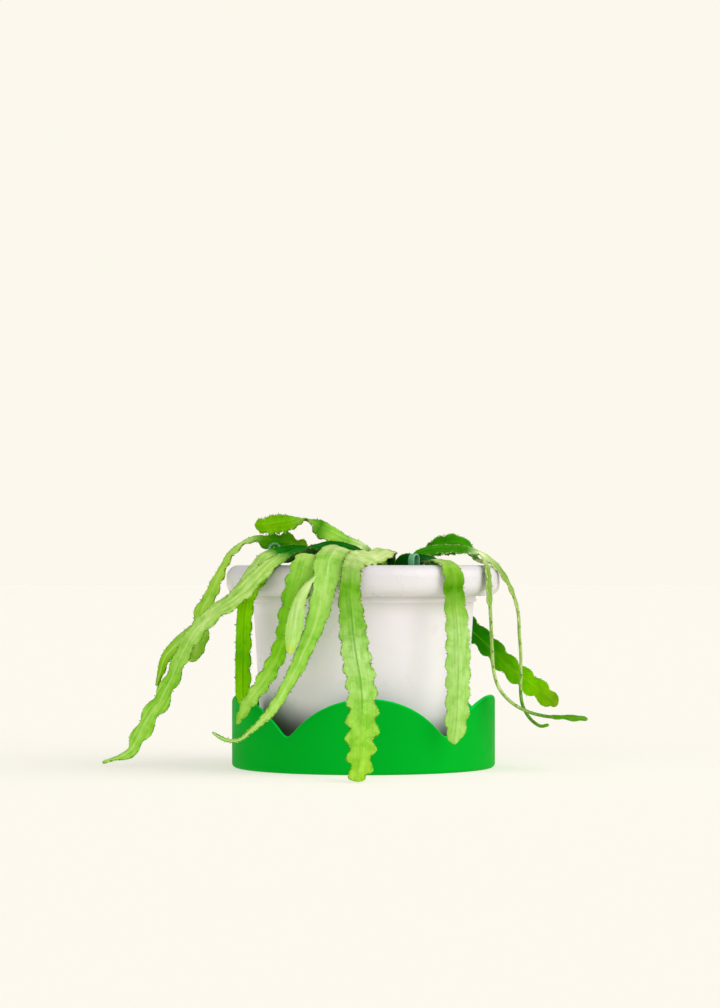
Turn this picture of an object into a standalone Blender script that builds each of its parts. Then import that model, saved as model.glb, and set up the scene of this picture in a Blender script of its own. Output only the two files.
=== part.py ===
"""Potted fishbone cactus in its saucer.

A white pot with a thick rounded rim stands in a green saucer whose wall ends in five
round lobes. The pot is full of soil. Flat, lobed stems grow from plain holes in the
soil, cross the rim and hang round the pot.

Units are metres and +Z is up. The origin is the centre of the saucer's underside, and
-Y is the front. Routes and profiles are written in millimetres and scaled by MM.
"""

import math

import bmesh
import bpy
import numpy as np

MM = 0.001
GAP = 0.3
SHARP_ANGLE = math.radians(40)
CUTTER_REACH = 5.0

# Saucer
SAUCER_RADIUS = 93.7
SAUCER_WALL = 2.5
SAUCER_CORNER = 3.0
LOBES = 5
LOBE_TOP = 52.4
LOBE_ARC_RADIUS = 72.0
FRONT_LOBE_ANGLE = math.radians(-88.5)
LOBE_COLUMNS = 18

# Pot
RIM_TOP = 143.6
RIM_RADIUS = 97.5
RIM_HEIGHT = 23.0
RIM_CORNER = 8.5
RIM_INNER_CORNER = 3.0
BEAD_RADIUS = 80.6
BEAD_HEIGHT = 3.0
BODY_TOP_RADIUS = 78.6
BODY_FOOT_RADIUS = 72.0
FOOT_CORNER = 3.0
POT_WALL = 5.0
POT_FLOOR = 5.0
DRAIN_RADIUS = 8.0
POT_STEPS = 48

# Soil
SOIL_TOP = 127.0
ROOT_DEPTH = 13.0

# Stems
ROOT_WIDTH = 4.0
ROOT_HALF_THICKNESS = 2.0
ROOT_EDGE_HALF_THICKNESS = 1.2
RIB_HALF_THICKNESS = 1.2
EDGE_HALF_THICKNESS = 0.55
THINNING_LENGTH = 20.0
LOBE_LEAN = 1.45
LOBE_ROUNDNESS = 0.75
HOLE_RADIUS = 3.1
HOLE_SIDES = 10
STATION_STEP = 3.2
ROOT_STEP = 7.0
CURVE_STEPS = 14
TANGENT_REACH = 0.5
LEAST_SPAN = 1.0

# Pins that hold stems down
PIN_HALF_SPAN = 3.8
PIN_LENGTH = 44.0
PIN_BAND = 4.6
PIN_THICKNESS = 1.2

# Ways that a blade can face
UP = (0, 0, 1)
FRONT = (0, -1, 0)
FRONT_UP = (0, -0.75, 0.65)
UP_FRONT = (0, -0.45, 0.9)
BACK = (0, 1, 0)
UP_BACK = (0, 0.4, 0.9)
RIGHT = (1, 0, 0)

COLOURS = {
    "saucer_green": ((0.0, 0.45, 0.03), 0.35),
    "pot_white": ((0.86, 0.84, 0.81), 0.5),
    "soil_brown": ((0.06, 0.035, 0.02), 0.95),
    "stem_green": ((0.25, 0.55, 0.04), 0.45),
    "stem_deep_green": ((0.08, 0.3, 0.02), 0.45),
    "pin_teal": ((0.35, 0.68, 0.52), 0.4),
}


class Stem:
    """A stem's route and the form of its edges.

    Each stop of the route is (x, y, z, width, facing). A stem with a root gets two more
    stops ahead of its own: the bottom and the top of the straight root in its hole.
    lobes is (length of a lobe near the root, length near the tip), and depth is (share
    of the half width that a notch takes near the root, share near the tip).
    """

    def __init__(self, name, root, stops, lobes, depth, deep=False):
        self.name = name
        self.root = root
        self.stops = stops
        self.blade_start = 0
        if root:
            x, y = root
            below = (x, y, SOIL_TOP - ROOT_DEPTH, ROOT_WIDTH, stops[0][4])
            level = (x, y, SOIL_TOP, ROOT_WIDTH, stops[0][4])
            self.stops = [below, level] + stops
            self.blade_start = 2
        self.lobes = lobes
        self.depth = depth
        self.deep = deep


STEMS = [
    Stem("stem_arched_left", (8, 4), [
        (7, 0, 142, 4, FRONT_UP),
        (4, -5, 153, 6, FRONT_UP),
        (-4, -8, 158, 9, FRONT_UP),
        (-13, -10, 161, 11, FRONT_UP),
        (-22, -12, 165.5, 14.5, FRONT_UP),
        (-31, -14, 169.5, 17, FRONT_UP),
        (-37, -16, 174, 13, (0, -0.4, 1)),
        (-41, -17, 176, 8, UP),
        (-46, -18, 175, 10, (0, -0.6, 0.8)),
        (-54, -20, 173.4, 14, (0, -1, 0.4)),
        (-62, -21, 172.6, 15.5, (0, -1, 0.3)),
        (-70, -22, 171.4, 12.5, (0, -1, 0.3)),
        (-75, -22, 172, 8, FRONT),
        (-77, -22, 172, 2.5, FRONT),
    ], lobes=(10, 6), depth=(0.15, 0.15), deep=True),
    Stem("stem_left_rear", (-12, 6), [
        (-16, 4, 137, 5, FRONT_UP),
        (-27, 1, 143, 8, FRONT_UP),
        (-38, -2, 147, 10, FRONT),
        (-46.5, -5, 155, 15.5, FRONT),
        (-56, -7, 160, 15, FRONT),
        (-66, -9, 162, 12, FRONT),
        (-76, -10, 162, 8, FRONT_UP),
        (-82, -10, 161, 8, (-0.3, -0.5, 0.8)),
        (-87, -11, 158, 8, (-0.6, -0.5, 0.6)),
        (-91.7, -12, 154, 9, (-0.7, -0.6, 0.4)),
        (-96.5, -12, 148, 9, (-0.7, -0.6, 0.3)),
        (-98.8, -12, 143, 9, (-0.7, -0.7, 0.2)),
        (-102.8, -12, 135, 10, (-0.6, -0.8, 0)),
        (-106, -13, 128, 11, (-0.5, -0.9, 0)),
        (-109.2, -14, 120, 11, (-0.3, -0.9, 0)),
        (-112, -15, 112, 11, (-0.2, -1, 0)),
        (-112, -16, 101, 11, FRONT),
        (-113, -18, 91, 10, FRONT),
        (-116, -20, 83, 10, FRONT),
        (-120, -22, 78, 7, FRONT),
        (-123, -23, 76, 3, FRONT),
    ], lobes=(12, 12), depth=(0.35, 0.15), deep=True),
    Stem("stem_left_short", (-20, -22), [
        (-24, -27, 141, 5, FRONT_UP),
        (-33, -36, 151, 8, FRONT_UP),
        (-44, -43, 154.3, 10, FRONT_UP),
        (-55, -48, 153.4, 10.5, FRONT_UP),
        (-65.5, -54, 151.5, 10, UP_FRONT),
        (-71, -59, 148, 9, (-0.4, -0.5, 0.75)),
        (-77, -65, 140, 8.5, (-0.6, -0.75, 0.3)),
        (-83.2, -65, 130.5, 9, (-0.5, -0.8, 0.2)),
        (-89, -63, 123, 9, (-0.4, -0.9, 0.2)),
        (-102, -58, 112, 10, (-0.3, -0.9, 0.2)),
        (-114, -50, 101, 10, (-0.3, -0.9, 0.2)),
        (-125, -42, 93, 10, (-0.3, -0.9, 0.2)),
        (-134, -34, 85, 9, (-0.3, -0.9, 0.1)),
        (-140, -28, 77, 8, (-0.4, -0.9, 0)),
        (-143, -24, 68, 6, (-0.4, -0.9, 0)),
        (-146, -22, 58, 2.5, (-0.4, -0.9, 0)),
    ], lobes=(12, 12), depth=(0.15, 0.12)),
    Stem("stem_left_long", (4, -26), [
        (2, -30, 143, 5, FRONT_UP),
        (-4, -37, 153, 9, FRONT_UP),
        (-13, -45, 156, 11, FRONT_UP),
        (-23, -52, 156.5, 12, FRONT_UP),
        (-32, -60, 156, 10, UP_FRONT),
        (-40, -66, 155, 8, (0, -0.1, 1)),
        (-47, -72, 153, 9, (-0.1, -0.25, 1)),
        (-55, -78, 149.6, 10, (-0.2, -0.5, 0.8)),
        (-64, -82, 143.8, 11, (-0.2, -0.8, 0.5)),
        (-72.3, -84, 136, 12.2, (-0.2, -1, 0.3)),
        (-81, -82, 127, 13, (-0.2, -1, 0.3)),
        (-90, -78, 119, 13, (-0.3, -1, 0.3)),
        (-101, -71, 112, 13, (-0.3, -1, 0.3)),
        (-111, -63, 103, 14, (-0.4, -1, 0.2)),
        (-119, -56, 94, 14, (-0.4, -1, 0.1)),
        (-125, -48, 84, 13, (-0.4, -1, 0)),
        (-129.5, -41, 75, 13, (-0.4, -1, 0)),
        (-134, -35, 65, 13, (-0.3, -1, 0)),
        (-138.8, -30, 56, 14, (-0.3, -1, 0)),
        (-143.5, -25, 47, 15, (-0.2, -1, 0)),
        (-150, -20, 38, 15, (-0.2, -1, 0.1)),
        (-155.3, -16, 29, 15, (-0.2, -1, 0.2)),
        (-160, -12, 20, 15, (-0.2, -1, 0.3)),
        (-165, -8, 12, 11, (-0.2, -1, 0.5)),
        (-173, -5, 7, 7, (-0.2, -1, 0.8)),
        (-186, -3, 3, 3, (0, -0.8, 0.8)),
    ], lobes=(12, 24), depth=(0.12, 0.42)),
    Stem("stem_left_straight", (-14, -40), [
        (-17, -43, 139, 5, FRONT_UP),
        (-24, -48, 148, 8, FRONT_UP),
        (-32, -52, 151, 10, FRONT_UP),
        (-41, -57, 151, 10, FRONT_UP),
        (-50, -62, 149, 11, (-0.1, -0.6, 0.75)),
        (-59, -67, 146, 11, (-0.35, -0.45, 0.82)),
        (-67, -72, 141, 11, (-0.5, -0.75, 0.4)),
        (-73, -74, 133, 12, (-0.4, -0.9, 0.1)),
        (-79, -73, 124, 12, (-0.3, -0.95, 0)),
        (-81.2, -71, 115, 12, (-0.3, -0.95, 0)),
        (-82.2, -69, 106, 12, (-0.3, -0.95, 0)),
        (-82.8, -68, 92, 12, (-0.3, -0.95, 0)),
        (-83.2, -67, 78, 12, (-0.3, -0.95, 0)),
        (-83.2, -66, 64, 12, (-0.3, -0.95, 0)),
        (-83, -66, 54, 9, (-0.3, -0.95, 0)),
        (-81, -66, 46, 3, (-0.3, -0.95, 0)),
    ], lobes=(12, 12), depth=(0.15, 0.18), deep=True),
    Stem("stem_front_narrow", (-24, -52), [
        (-25, -57, 140, 5, UP_FRONT),
        (-28, -64, 147, 7, UP_FRONT),
        (-34, -72, 149.5, 10, UP_FRONT),
        (-38, -80, 150, 14, UP_FRONT),
        (-41.5, -89, 144.8, 17, (-0.2, -0.9, 0.4)),
        (-44, -93, 135.5, 17, (-0.1, -1, 0.1)),
        (-47, -94, 126, 18, FRONT),
        (-48.6, -94, 116, 17.5, FRONT),
        (-51.3, -95, 106, 16.5, FRONT),
        (-53.5, -95, 95, 14.2, FRONT),
        (-57.8, -94, 84, 12.5, FRONT),
        (-63.2, -92, 73, 12.5, FRONT),
        (-68.5, -89, 64, 12.5, FRONT),
        (-74, -85, 56, 11, FRONT),
        (-80, -80, 48, 10, FRONT),
        (-84, -76, 41, 8, FRONT),
        (-87, -72, 34, 3, FRONT),
    ], lobes=(12, 12), depth=(0.2, 0.35)),
    Stem("stem_front_broad", (6, -48), [
        (4, -50, 141, 6, UP_FRONT),
        (-2, -54, 148.5, 8, UP_FRONT),
        (-9, -60, 152.5, 13, UP_FRONT),
        (-16, -69, 155, 18, UP_FRONT),
        (-21.5, -82, 151.5, 19.5, UP_FRONT),
        (-24.8, -94, 144, 19, (0, -0.85, 0.5)),
        (-25, -100, 136, 19, (0, -1, 0.1)),
        (-27, -102, 128, 17, FRONT),
        (-29.5, -103, 116, 16.5, FRONT),
        (-33.5, -104, 102, 13.8, FRONT),
        (-40.2, -104, 86, 11.8, FRONT),
        (-44.8, -104, 75, 11.2, FRONT),
        (-50.8, -104, 64, 9, FRONT),
        (-59, -104, 50, 8, FRONT),
        (-65, -104, 42, 7, FRONT),
        (-71, -103, 36, 5, FRONT),
        (-78, -102, 30, 4, FRONT),
        (-84, -101, 25, 3, FRONT),
        (-90, -100, 24, 3, FRONT),
        (-97, -100, 26, 3, FRONT),
        (-103, -100, 30, 2, FRONT),
    ], lobes=(14, 12), depth=(0.12, 0.15)),
    Stem("stem_front_middle", (18, -43), [
        (19, -44, 141, 5, UP_FRONT),
        (18.5, -49, 152.5, 10, UP_FRONT),
        (15.5, -56, 153.5, 17, UP_FRONT),
        (10.5, -65, 150.8, 20, (-0.1, -0.55, 0.83)),
        (4, -75, 148.8, 18.5, (-0.1, -0.55, 0.83)),
        (-3.2, -88, 147.5, 16.2, (-0.1, -0.4, 0.9)),
        (-7.5, -99.5, 143, 15, (0, -0.8, 0.6)),
        (-9, -104.5, 132, 15, (0, -1, 0.3)),
        (-9.4, -108, 121, 16.5, (0, -1, 0.3)),
        (-8.3, -111, 111, 18, (0, -1, 0.3)),
        (-7.3, -115, 100, 20, (0, -1, 0.3)),
        (-6.2, -120, 90, 20.5, (0, -1, 0.3)),
        (-4.3, -126, 78, 21.5, (0, -1, 0.3)),
        (-2.4, -131, 68, 22, (0, -1, 0.3)),
        (-1.5, -135, 60, 22, (0, -1, 0.3)),
        (-1, -139, 51, 22, (0, -1, 0.3)),
        (-1, -143, 42, 23, (0, -1, 0.3)),
        (-1, -147, 33, 23, (0, -1, 0.3)),
        (-2, -152, 24, 22, (0, -1, 0.3)),
        (-2, -156, 15, 20, (0, -1, 0.3)),
        (-3, -161, 7, 17.5, (0, -1, 0.3)),
        (-3, -165.5, 1, 13, (0, -1, 0.3)),
    ], lobes=(12, 12.5), depth=(0.18, 0.35)),
    Stem("stem_front_right", (24, -24), [
        (25, -26, 137, 7, FRONT),
        (29, -30, 143, 12, FRONT),
        (36, -37, 146, 12, (0, -0.95, 0.2)),
        (43, -48, 147, 12, (0, -0.8, 0.6)),
        (48, -59, 146.6, 13, (0.1, -0.45, 0.9)),
        (54, -70, 146.6, 14, (0.2, -0.3, 0.93)),
        (59.5, -79, 142.6, 14, (0.3, -0.7, 0.65)),
        (61.8, -83.5, 136, 15, (0.2, -1, 0.1)),
        (61.8, -84.5, 130, 15, (0.1, -1, 0)),
        (62.3, -85, 120, 15.4, FRONT),
        (63.8, -86, 106, 16.8, FRONT),
        (64.6, -87, 92, 17.6, FRONT),
        (64.6, -88, 79, 18, FRONT),
        (64.6, -89, 65, 18, FRONT),
        (64.2, -90, 51, 17.4, FRONT),
        (63.7, -91, 41, 17, FRONT),
        (62.8, -91, 31, 14.5, FRONT),
        (62, -91, 25, 10, FRONT),
        (62, -91, 21, 3, FRONT),
    ], lobes=(13, 13), depth=(0.15, 0.22)),
    Stem("stem_right_outer", (32, -6), [
        (33, -8, 142, 6, FRONT_UP),
        (39, -12, 151, 9, FRONT_UP),
        (48, -16, 154, 10, FRONT_UP),
        (60, -20, 155, 9, FRONT_UP),
        (71, -22, 154.5, 8, FRONT_UP),
        (81, -22, 152.5, 8, (0.3, -0.4, 0.9)),
        (88.2, -22, 147.8, 9, (0.5, -0.5, 0.7)),
        (95.7, -22, 140.8, 9, (0.7, -0.45, 0.5)),
        (101.5, -22, 132, 9, (0.85, -0.35, 0.35)),
        (106, -22, 122, 9, (0.95, -0.25, 0.15)),
        (109, -22, 111, 9, (1, -0.1, 0)),
        (110, -22, 95, 9, RIGHT),
        (111, -22, 80, 9, RIGHT),
        (111, -22, 64, 9, RIGHT),
        (111, -22, 53, 9, RIGHT),
        (112, -22, 46, 9, (1, 0, 0.2)),
        (115, -22, 39, 8, (0.9, 0, 0.5)),
        (120, -22, 33, 7, (0.6, 0, 0.8)),
        (125, -22, 30, 6, (0.2, 0, 1)),
        (131, -22, 31, 3, (0, 0, 1)),
    ], lobes=(12, 12), depth=(0.15, 0.2), deep=True),
    Stem("stem_right_inner", (38, 8), [
        (39, 7, 142, 6, FRONT_UP),
        (44, 4, 150, 8, FRONT_UP),
        (52, 1, 156.3, 13.5, FRONT),
        (62, 0, 158.4, 16, FRONT),
        (71, -3, 157, 14.5, FRONT_UP),
        (77, -8, 152, 8, (0.2, -0.4, 0.9)),
        (80, -16, 148, 6, (0.2, -0.1, 1)),
        (83, -26, 146, 6, (0.2, 0, 1)),
        (85.5, -40, 145.2, 7, (0.6, 0, 0.8)),
        (87, -50.5, 136.5, 9, (0.9, -0.4, 0.2)),
        (87.3, -52, 126, 9, (0.85, -0.5, 0)),
        (88, -51.5, 116, 9.5, (0.95, -0.3, 0)),
        (88.7, -50.5, 105, 10, RIGHT),
        (89.7, -48.5, 84, 10, RIGHT),
        (91, -46, 69, 10, RIGHT),
        (94, -45, 59, 10, (0.9, 0, 0.4)),
        (103, -44, 48, 10, (0.6, 0, 0.8)),
        (113, -43, 42, 10, (0.4, 0, 0.9)),
        (127, -42, 38, 10, (0.2, 0, 1)),
        (142, -41, 37, 10, (0, -0.3, 0.95)),
        (157, -40, 36, 10, (0, -0.35, 0.93)),
    ], lobes=(12, 12), depth=(0.15, 0.2), deep=True),
    Stem("stem_right_rear", (28, 34), [
        (31, 40, 140, 6, (0.3, 0.3, 0.9)),
        (36, 52, 148, 10, (0.3, 0.3, 0.9)),
        (42, 66, 150, 13, (0.3, 0.3, 0.9)),
        (47, 80, 149, 14, (0.3, 0.4, 0.85)),
        (51, 90, 144, 14, (0.4, 0.6, 0.65)),
        (55, 97, 135, 14, (0.4, 0.9, 0.2)),
        (60, 99, 122, 16.5, (0.35, 0.9, 0.2)),
        (68, 96, 109, 18, (0.35, 0.9, 0.25)),
        (78, 91, 98, 18.5, (0.35, 0.9, 0.25)),
        (94, 83, 83, 18.5, (0.35, 0.9, 0.25)),
        (105, 78, 71, 18.5, (0.35, 0.9, 0.25)),
        (117, 72, 61, 18.5, (0.35, 0.9, 0.25)),
        (130, 67, 51, 18, (0.35, 0.9, 0.25)),
        (142.5, 61.5, 41, 13.5, (0.35, 0.9, 0.25)),
    ], lobes=(15, 15), depth=(0.2, 0.35), deep=True),
    Stem("stem_back_left", (-14, 36), [
        (-15, 42, 140, 6, UP_BACK),
        (-18, 56, 149, 10, UP_BACK),
        (-22, 74, 151, 12, UP),
        (-25, 90, 148, 12, UP_BACK),
        (-27, 100, 139, 12, (0, 0.85, 0.5)),
        (-28, 104, 126, 13, BACK),
        (-30, 105, 110, 13, BACK),
        (-33, 106, 92, 13, BACK),
        (-37, 107, 76, 12, BACK),
        (-42, 108, 60, 9, BACK),
        (-45, 108, 50, 3, BACK),
    ], lobes=(12, 12), depth=(0.2, 0.3)),
    Stem("stem_back_right", (8, 40), [
        (9, 45, 140, 6, UP_BACK),
        (12, 58, 149, 10, UP_BACK),
        (14, 76, 151, 12, UP),
        (15, 92, 148, 12, UP_BACK),
        (15, 101, 139, 12, (0, 0.85, 0.5)),
        (16, 104, 126, 13, BACK),
        (18, 105, 110, 13, BACK),
        (22, 106, 94, 12, BACK),
        (26, 107, 80, 10, BACK),
        (29, 107, 68, 3, BACK),
    ], lobes=(12, 12), depth=(0.2, 0.3)),
]

YOUNG_SHOOT_PARENT = "stem_front_broad"
YOUNG_SHOOT = Stem("young_shoot", None, [
    (-29, -98.5, 139.5, 2.5, FRONT),
    (-33.5, -102, 135.5, 2.5, FRONT),
    (-37.5, -104.5, 130, 3, FRONT),
    (-41, -106.5, 123, 5, FRONT),
    (-43.5, -107.5, 115, 8, FRONT),
    (-46, -108, 106, 10.5, FRONT),
    (-48, -108, 96, 9.5, FRONT),
    (-49.5, -108, 88, 6.5, FRONT),
    (-50.5, -108, 82.5, 2.5, FRONT),
], lobes=(9, 9), depth=(0.06, 0.06))

# (name, x, y, top of the loop, turn about +Z in degrees)
PINS = [
    ("plant_pin_right", 35, -57, 151, 58),
    ("plant_pin_left", -63, -15, 159, 10),
]


def clear_scene():
    """Removes every object of the open scene."""
    for obj in list(bpy.data.objects):
        bpy.data.objects.remove(obj, do_unlink=True)


def make_collection(name, hidden=False):
    """A collection of the scene. A hidden one holds cutters."""
    collection = bpy.data.collections.new(name)
    bpy.context.scene.collection.children.link(collection)
    collection.hide_render = hidden
    return collection


def make_material(name):
    """A Principled material in one of the part's colours."""
    colour, roughness = COLOURS[name]
    material = bpy.data.materials.new(name)
    material.use_nodes = True
    shader = material.node_tree.nodes["Principled BSDF"]
    shader.inputs["Base Color"].default_value = (*colour, 1.0)
    shader.inputs["Roughness"].default_value = roughness
    material.diffuse_color = (*colour, 1.0)
    return material


def object_from(bm, name, collection, material=None):
    """The object of a finished bmesh, shaded smooth with its sharp edges kept."""
    mesh = bpy.data.meshes.new(name)
    bm.to_mesh(mesh)
    bm.free()
    obj = bpy.data.objects.new(name, mesh)
    collection.objects.link(obj)
    if material:
        mesh.materials.append(material)
    mesh.shade_smooth()
    mesh.set_sharp_from_angle(angle=SHARP_ANGLE)
    return obj


def arc(centre, radius, start, end, segments):
    """Points on an arc, with its angles in degrees from +X."""
    points = []
    for i in range(segments + 1):
        angle = math.radians(start + (end - start) * i / segments)
        x = centre[0] + radius * math.cos(angle)
        z = centre[1] + radius * math.sin(angle)
        points.append((x, z))
    return points


def lobe_height(offset):
    """Height of the saucer's wall at this distance along it from a lobe's middle."""
    drop = LOBE_ARC_RADIUS - math.sqrt(LOBE_ARC_RADIUS**2 - offset**2)
    return LOBE_TOP - drop


def saucer(collection):
    """The saucer: a flat floor, a rounded corner and an upright wall in five lobes."""
    lobe_turn = 2 * math.pi / LOBES
    half_length = SAUCER_RADIUS * lobe_turn / 2
    corner_centre = (SAUCER_RADIUS - SAUCER_CORNER, SAUCER_CORNER)
    corner = arc(corner_centre, SAUCER_CORNER, -90, 0, 3)
    bm = bmesh.new()
    centre = bm.verts.new((0, 0, 0))
    columns = []
    for lobe in range(LOBES):
        for i in range(LOBE_COLUMNS):
            across = math.sin(math.pi * (i / LOBE_COLUMNS - 0.5))
            angle = FRONT_LOBE_ANGLE + lobe_turn * (lobe + across / 2)
            top = lobe_height(across * half_length)
            column = []
            for radius, z in corner + [(SAUCER_RADIUS, top)]:
                x = radius * math.cos(angle)
                y = radius * math.sin(angle)
                column.append(bm.verts.new((x * MM, y * MM, z * MM)))
            columns.append(column)
    for this, following in zip(columns, columns[1:] + columns[:1]):
        bm.faces.new((centre, following[0], this[0]))
        for i in range(len(this) - 1):
            bm.faces.new((this[i], following[i], following[i + 1], this[i + 1]))
    obj = object_from(bm, "saucer", collection, make_material("saucer_green"))
    shell = obj.modifiers.new("wall", "SOLIDIFY")
    shell.thickness = SAUCER_WALL * MM
    shell.offset = -1
    shell.use_even_offset = True
    return obj


def pot_profile():
    """The pot's outline, down its outside, in through the drain hole and up inside."""
    foot = SAUCER_WALL + GAP
    rim_bottom = RIM_TOP - RIM_HEIGHT
    rim_centre = RIM_RADIUS - RIM_CORNER
    inner_top = BODY_TOP_RADIUS - POT_WALL
    inner_foot = BODY_FOOT_RADIUS - POT_WALL
    outline = arc((rim_centre, RIM_TOP - RIM_CORNER), RIM_CORNER, 90, 0, 4)
    outline += arc((rim_centre, rim_bottom + RIM_CORNER), RIM_CORNER, 0, -90, 4)
    outline.append((BEAD_RADIUS, rim_bottom))
    outline.append((BEAD_RADIUS, rim_bottom - BEAD_HEIGHT))
    outline.append((BODY_TOP_RADIUS, rim_bottom - BEAD_HEIGHT))
    foot_centre = (BODY_FOOT_RADIUS - FOOT_CORNER, foot + FOOT_CORNER)
    outline += arc(foot_centre, FOOT_CORNER, 0, -90, 2)
    outline.append((DRAIN_RADIUS, foot))
    outline.append((DRAIN_RADIUS, foot + POT_FLOOR))
    outline.append((inner_foot, foot + POT_FLOOR))
    lip_centre = (inner_top + RIM_INNER_CORNER, RIM_TOP - RIM_INNER_CORNER)
    outline += arc(lip_centre, RIM_INNER_CORNER, 180, 90, 2)
    return outline


def pot(collection):
    """The pot, turned from its outline."""
    bm = bmesh.new()
    points = []
    for radius, z in pot_profile():
        points.append(bm.verts.new((radius * MM, 0, z * MM)))
    for this, following in zip(points, points[1:] + points[:1]):
        bm.edges.new((this, following))
    obj = object_from(bm, "pot", collection, make_material("pot_white"))
    turn = obj.modifiers.new("turned", "SCREW")
    turn.axis = "Z"
    turn.steps = POT_STEPS
    turn.render_steps = POT_STEPS
    turn.use_merge_vertices = True
    turn.merge_threshold = 0.00001
    turn.use_smooth_shade = True
    return obj


def inner_radius(z):
    """The radius of the pot's inside at this height."""
    foot = SAUCER_WALL + GAP
    top = RIM_TOP - RIM_INNER_CORNER
    share = (z - foot - POT_FLOOR) / (top - foot - POT_FLOOR)
    return BODY_FOOT_RADIUS - POT_WALL + share * (BODY_TOP_RADIUS - BODY_FOOT_RADIUS)


def round_cutter(name, x, y, collection):
    """A cutter for the plain hole that a root stands in."""
    height = ROOT_DEPTH + GAP + CUTTER_REACH
    middle = SOIL_TOP + CUTTER_REACH - height / 2
    bm = bmesh.new()
    bmesh.ops.create_cone(
        bm,
        cap_ends=True,
        segments=HOLE_SIDES,
        radius1=HOLE_RADIUS * MM,
        radius2=HOLE_RADIUS * MM,
        depth=height * MM,
    )
    obj = object_from(bm, name, collection)
    obj.location = (x * MM, y * MM, middle * MM)
    hide(obj)
    return obj


def slot_cutter(name, pin, side, collection):
    """A cutter for the slot that one leg of a pin stands in."""
    _, x, y, top, turn = pin
    angle = math.radians(turn)
    bottom = top - PIN_LENGTH - GAP
    height = SOIL_TOP + CUTTER_REACH - bottom
    bm = bmesh.new()
    bmesh.ops.create_cube(bm, size=1.0)
    size = (PIN_THICKNESS + 2 * GAP, PIN_BAND + 2 * GAP, height)
    bmesh.ops.scale(bm, vec=[s * MM for s in size], verts=bm.verts)
    obj = object_from(bm, name, collection)
    reach = side * PIN_HALF_SPAN
    x += reach * math.cos(angle)
    y += reach * math.sin(angle)
    obj.location = (x * MM, y * MM, (bottom + height / 2) * MM)
    obj.rotation_euler = (0, 0, angle)
    hide(obj)
    return obj


def hide(obj):
    """Leaves a cutter out of renders and draws it as wire."""
    obj.hide_render = True
    obj.display_type = "WIRE"


def soil(collection, cutters):
    """The soil, a plug that fills the pot, with a hole for each root and pin leg."""
    bottom = SAUCER_WALL + POT_FLOOR + 2 * GAP
    low = inner_radius(bottom) - GAP
    high = inner_radius(SOIL_TOP) - GAP
    bm = bmesh.new()
    bmesh.ops.create_cone(
        bm,
        cap_ends=True,
        segments=POT_STEPS,
        radius1=low * MM,
        radius2=high * MM,
        depth=(SOIL_TOP - bottom) * MM,
    )
    obj = object_from(bm, "soil", collection, make_material("soil_brown"))
    obj.location = (0, 0, (SOIL_TOP + bottom) / 2 * MM)
    for stem in STEMS:
        round_cutter("hole_" + stem.name, *stem.root, cutters)
    for pin in PINS:
        slot_cutter("slot_a_" + pin[0], pin, 1, cutters)
        slot_cutter("slot_b_" + pin[0], pin, -1, cutters)
    cut = obj.modifiers.new("holes", "BOOLEAN")
    cut.operation = "DIFFERENCE"
    cut.operand_type = "COLLECTION"
    cut.collection = cutters
    cut.solver = "EXACT"
    return obj


def smooth_rows(stops):
    """Rows of x, y, z, width and facing, read from a smooth curve through the stops."""
    rows = np.array([(x, y, z, width, *facing) for x, y, z, width, facing in stops], float)
    spans = np.linalg.norm(np.diff(rows[:, :3], axis=0), axis=1)
    slopes = np.diff(rows, axis=0) / spans[:, None]
    before = spans[:-1, None]
    after = spans[1:, None]
    inner = (slopes[:-1] * after + slopes[1:] * before) / (before + after)
    tangents = np.vstack([slopes[:1], inner, slopes[-1:]])
    dense = []
    for i, span in enumerate(spans):
        for t in np.linspace(0, 1, CURVE_STEPS, endpoint=False):
            near = (1 - 3 * t**2 + 2 * t**3) * rows[i]
            far = (3 * t**2 - 2 * t**3) * rows[i + 1]
            leave = (t - 2 * t**2 + t**3) * span * tangents[i]
            arrive = (t**3 - t**2) * span * tangents[i + 1]
            dense.append(near + far + leave + arrive)
    dense.append(rows[-1])
    return np.array(dense)


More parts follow.
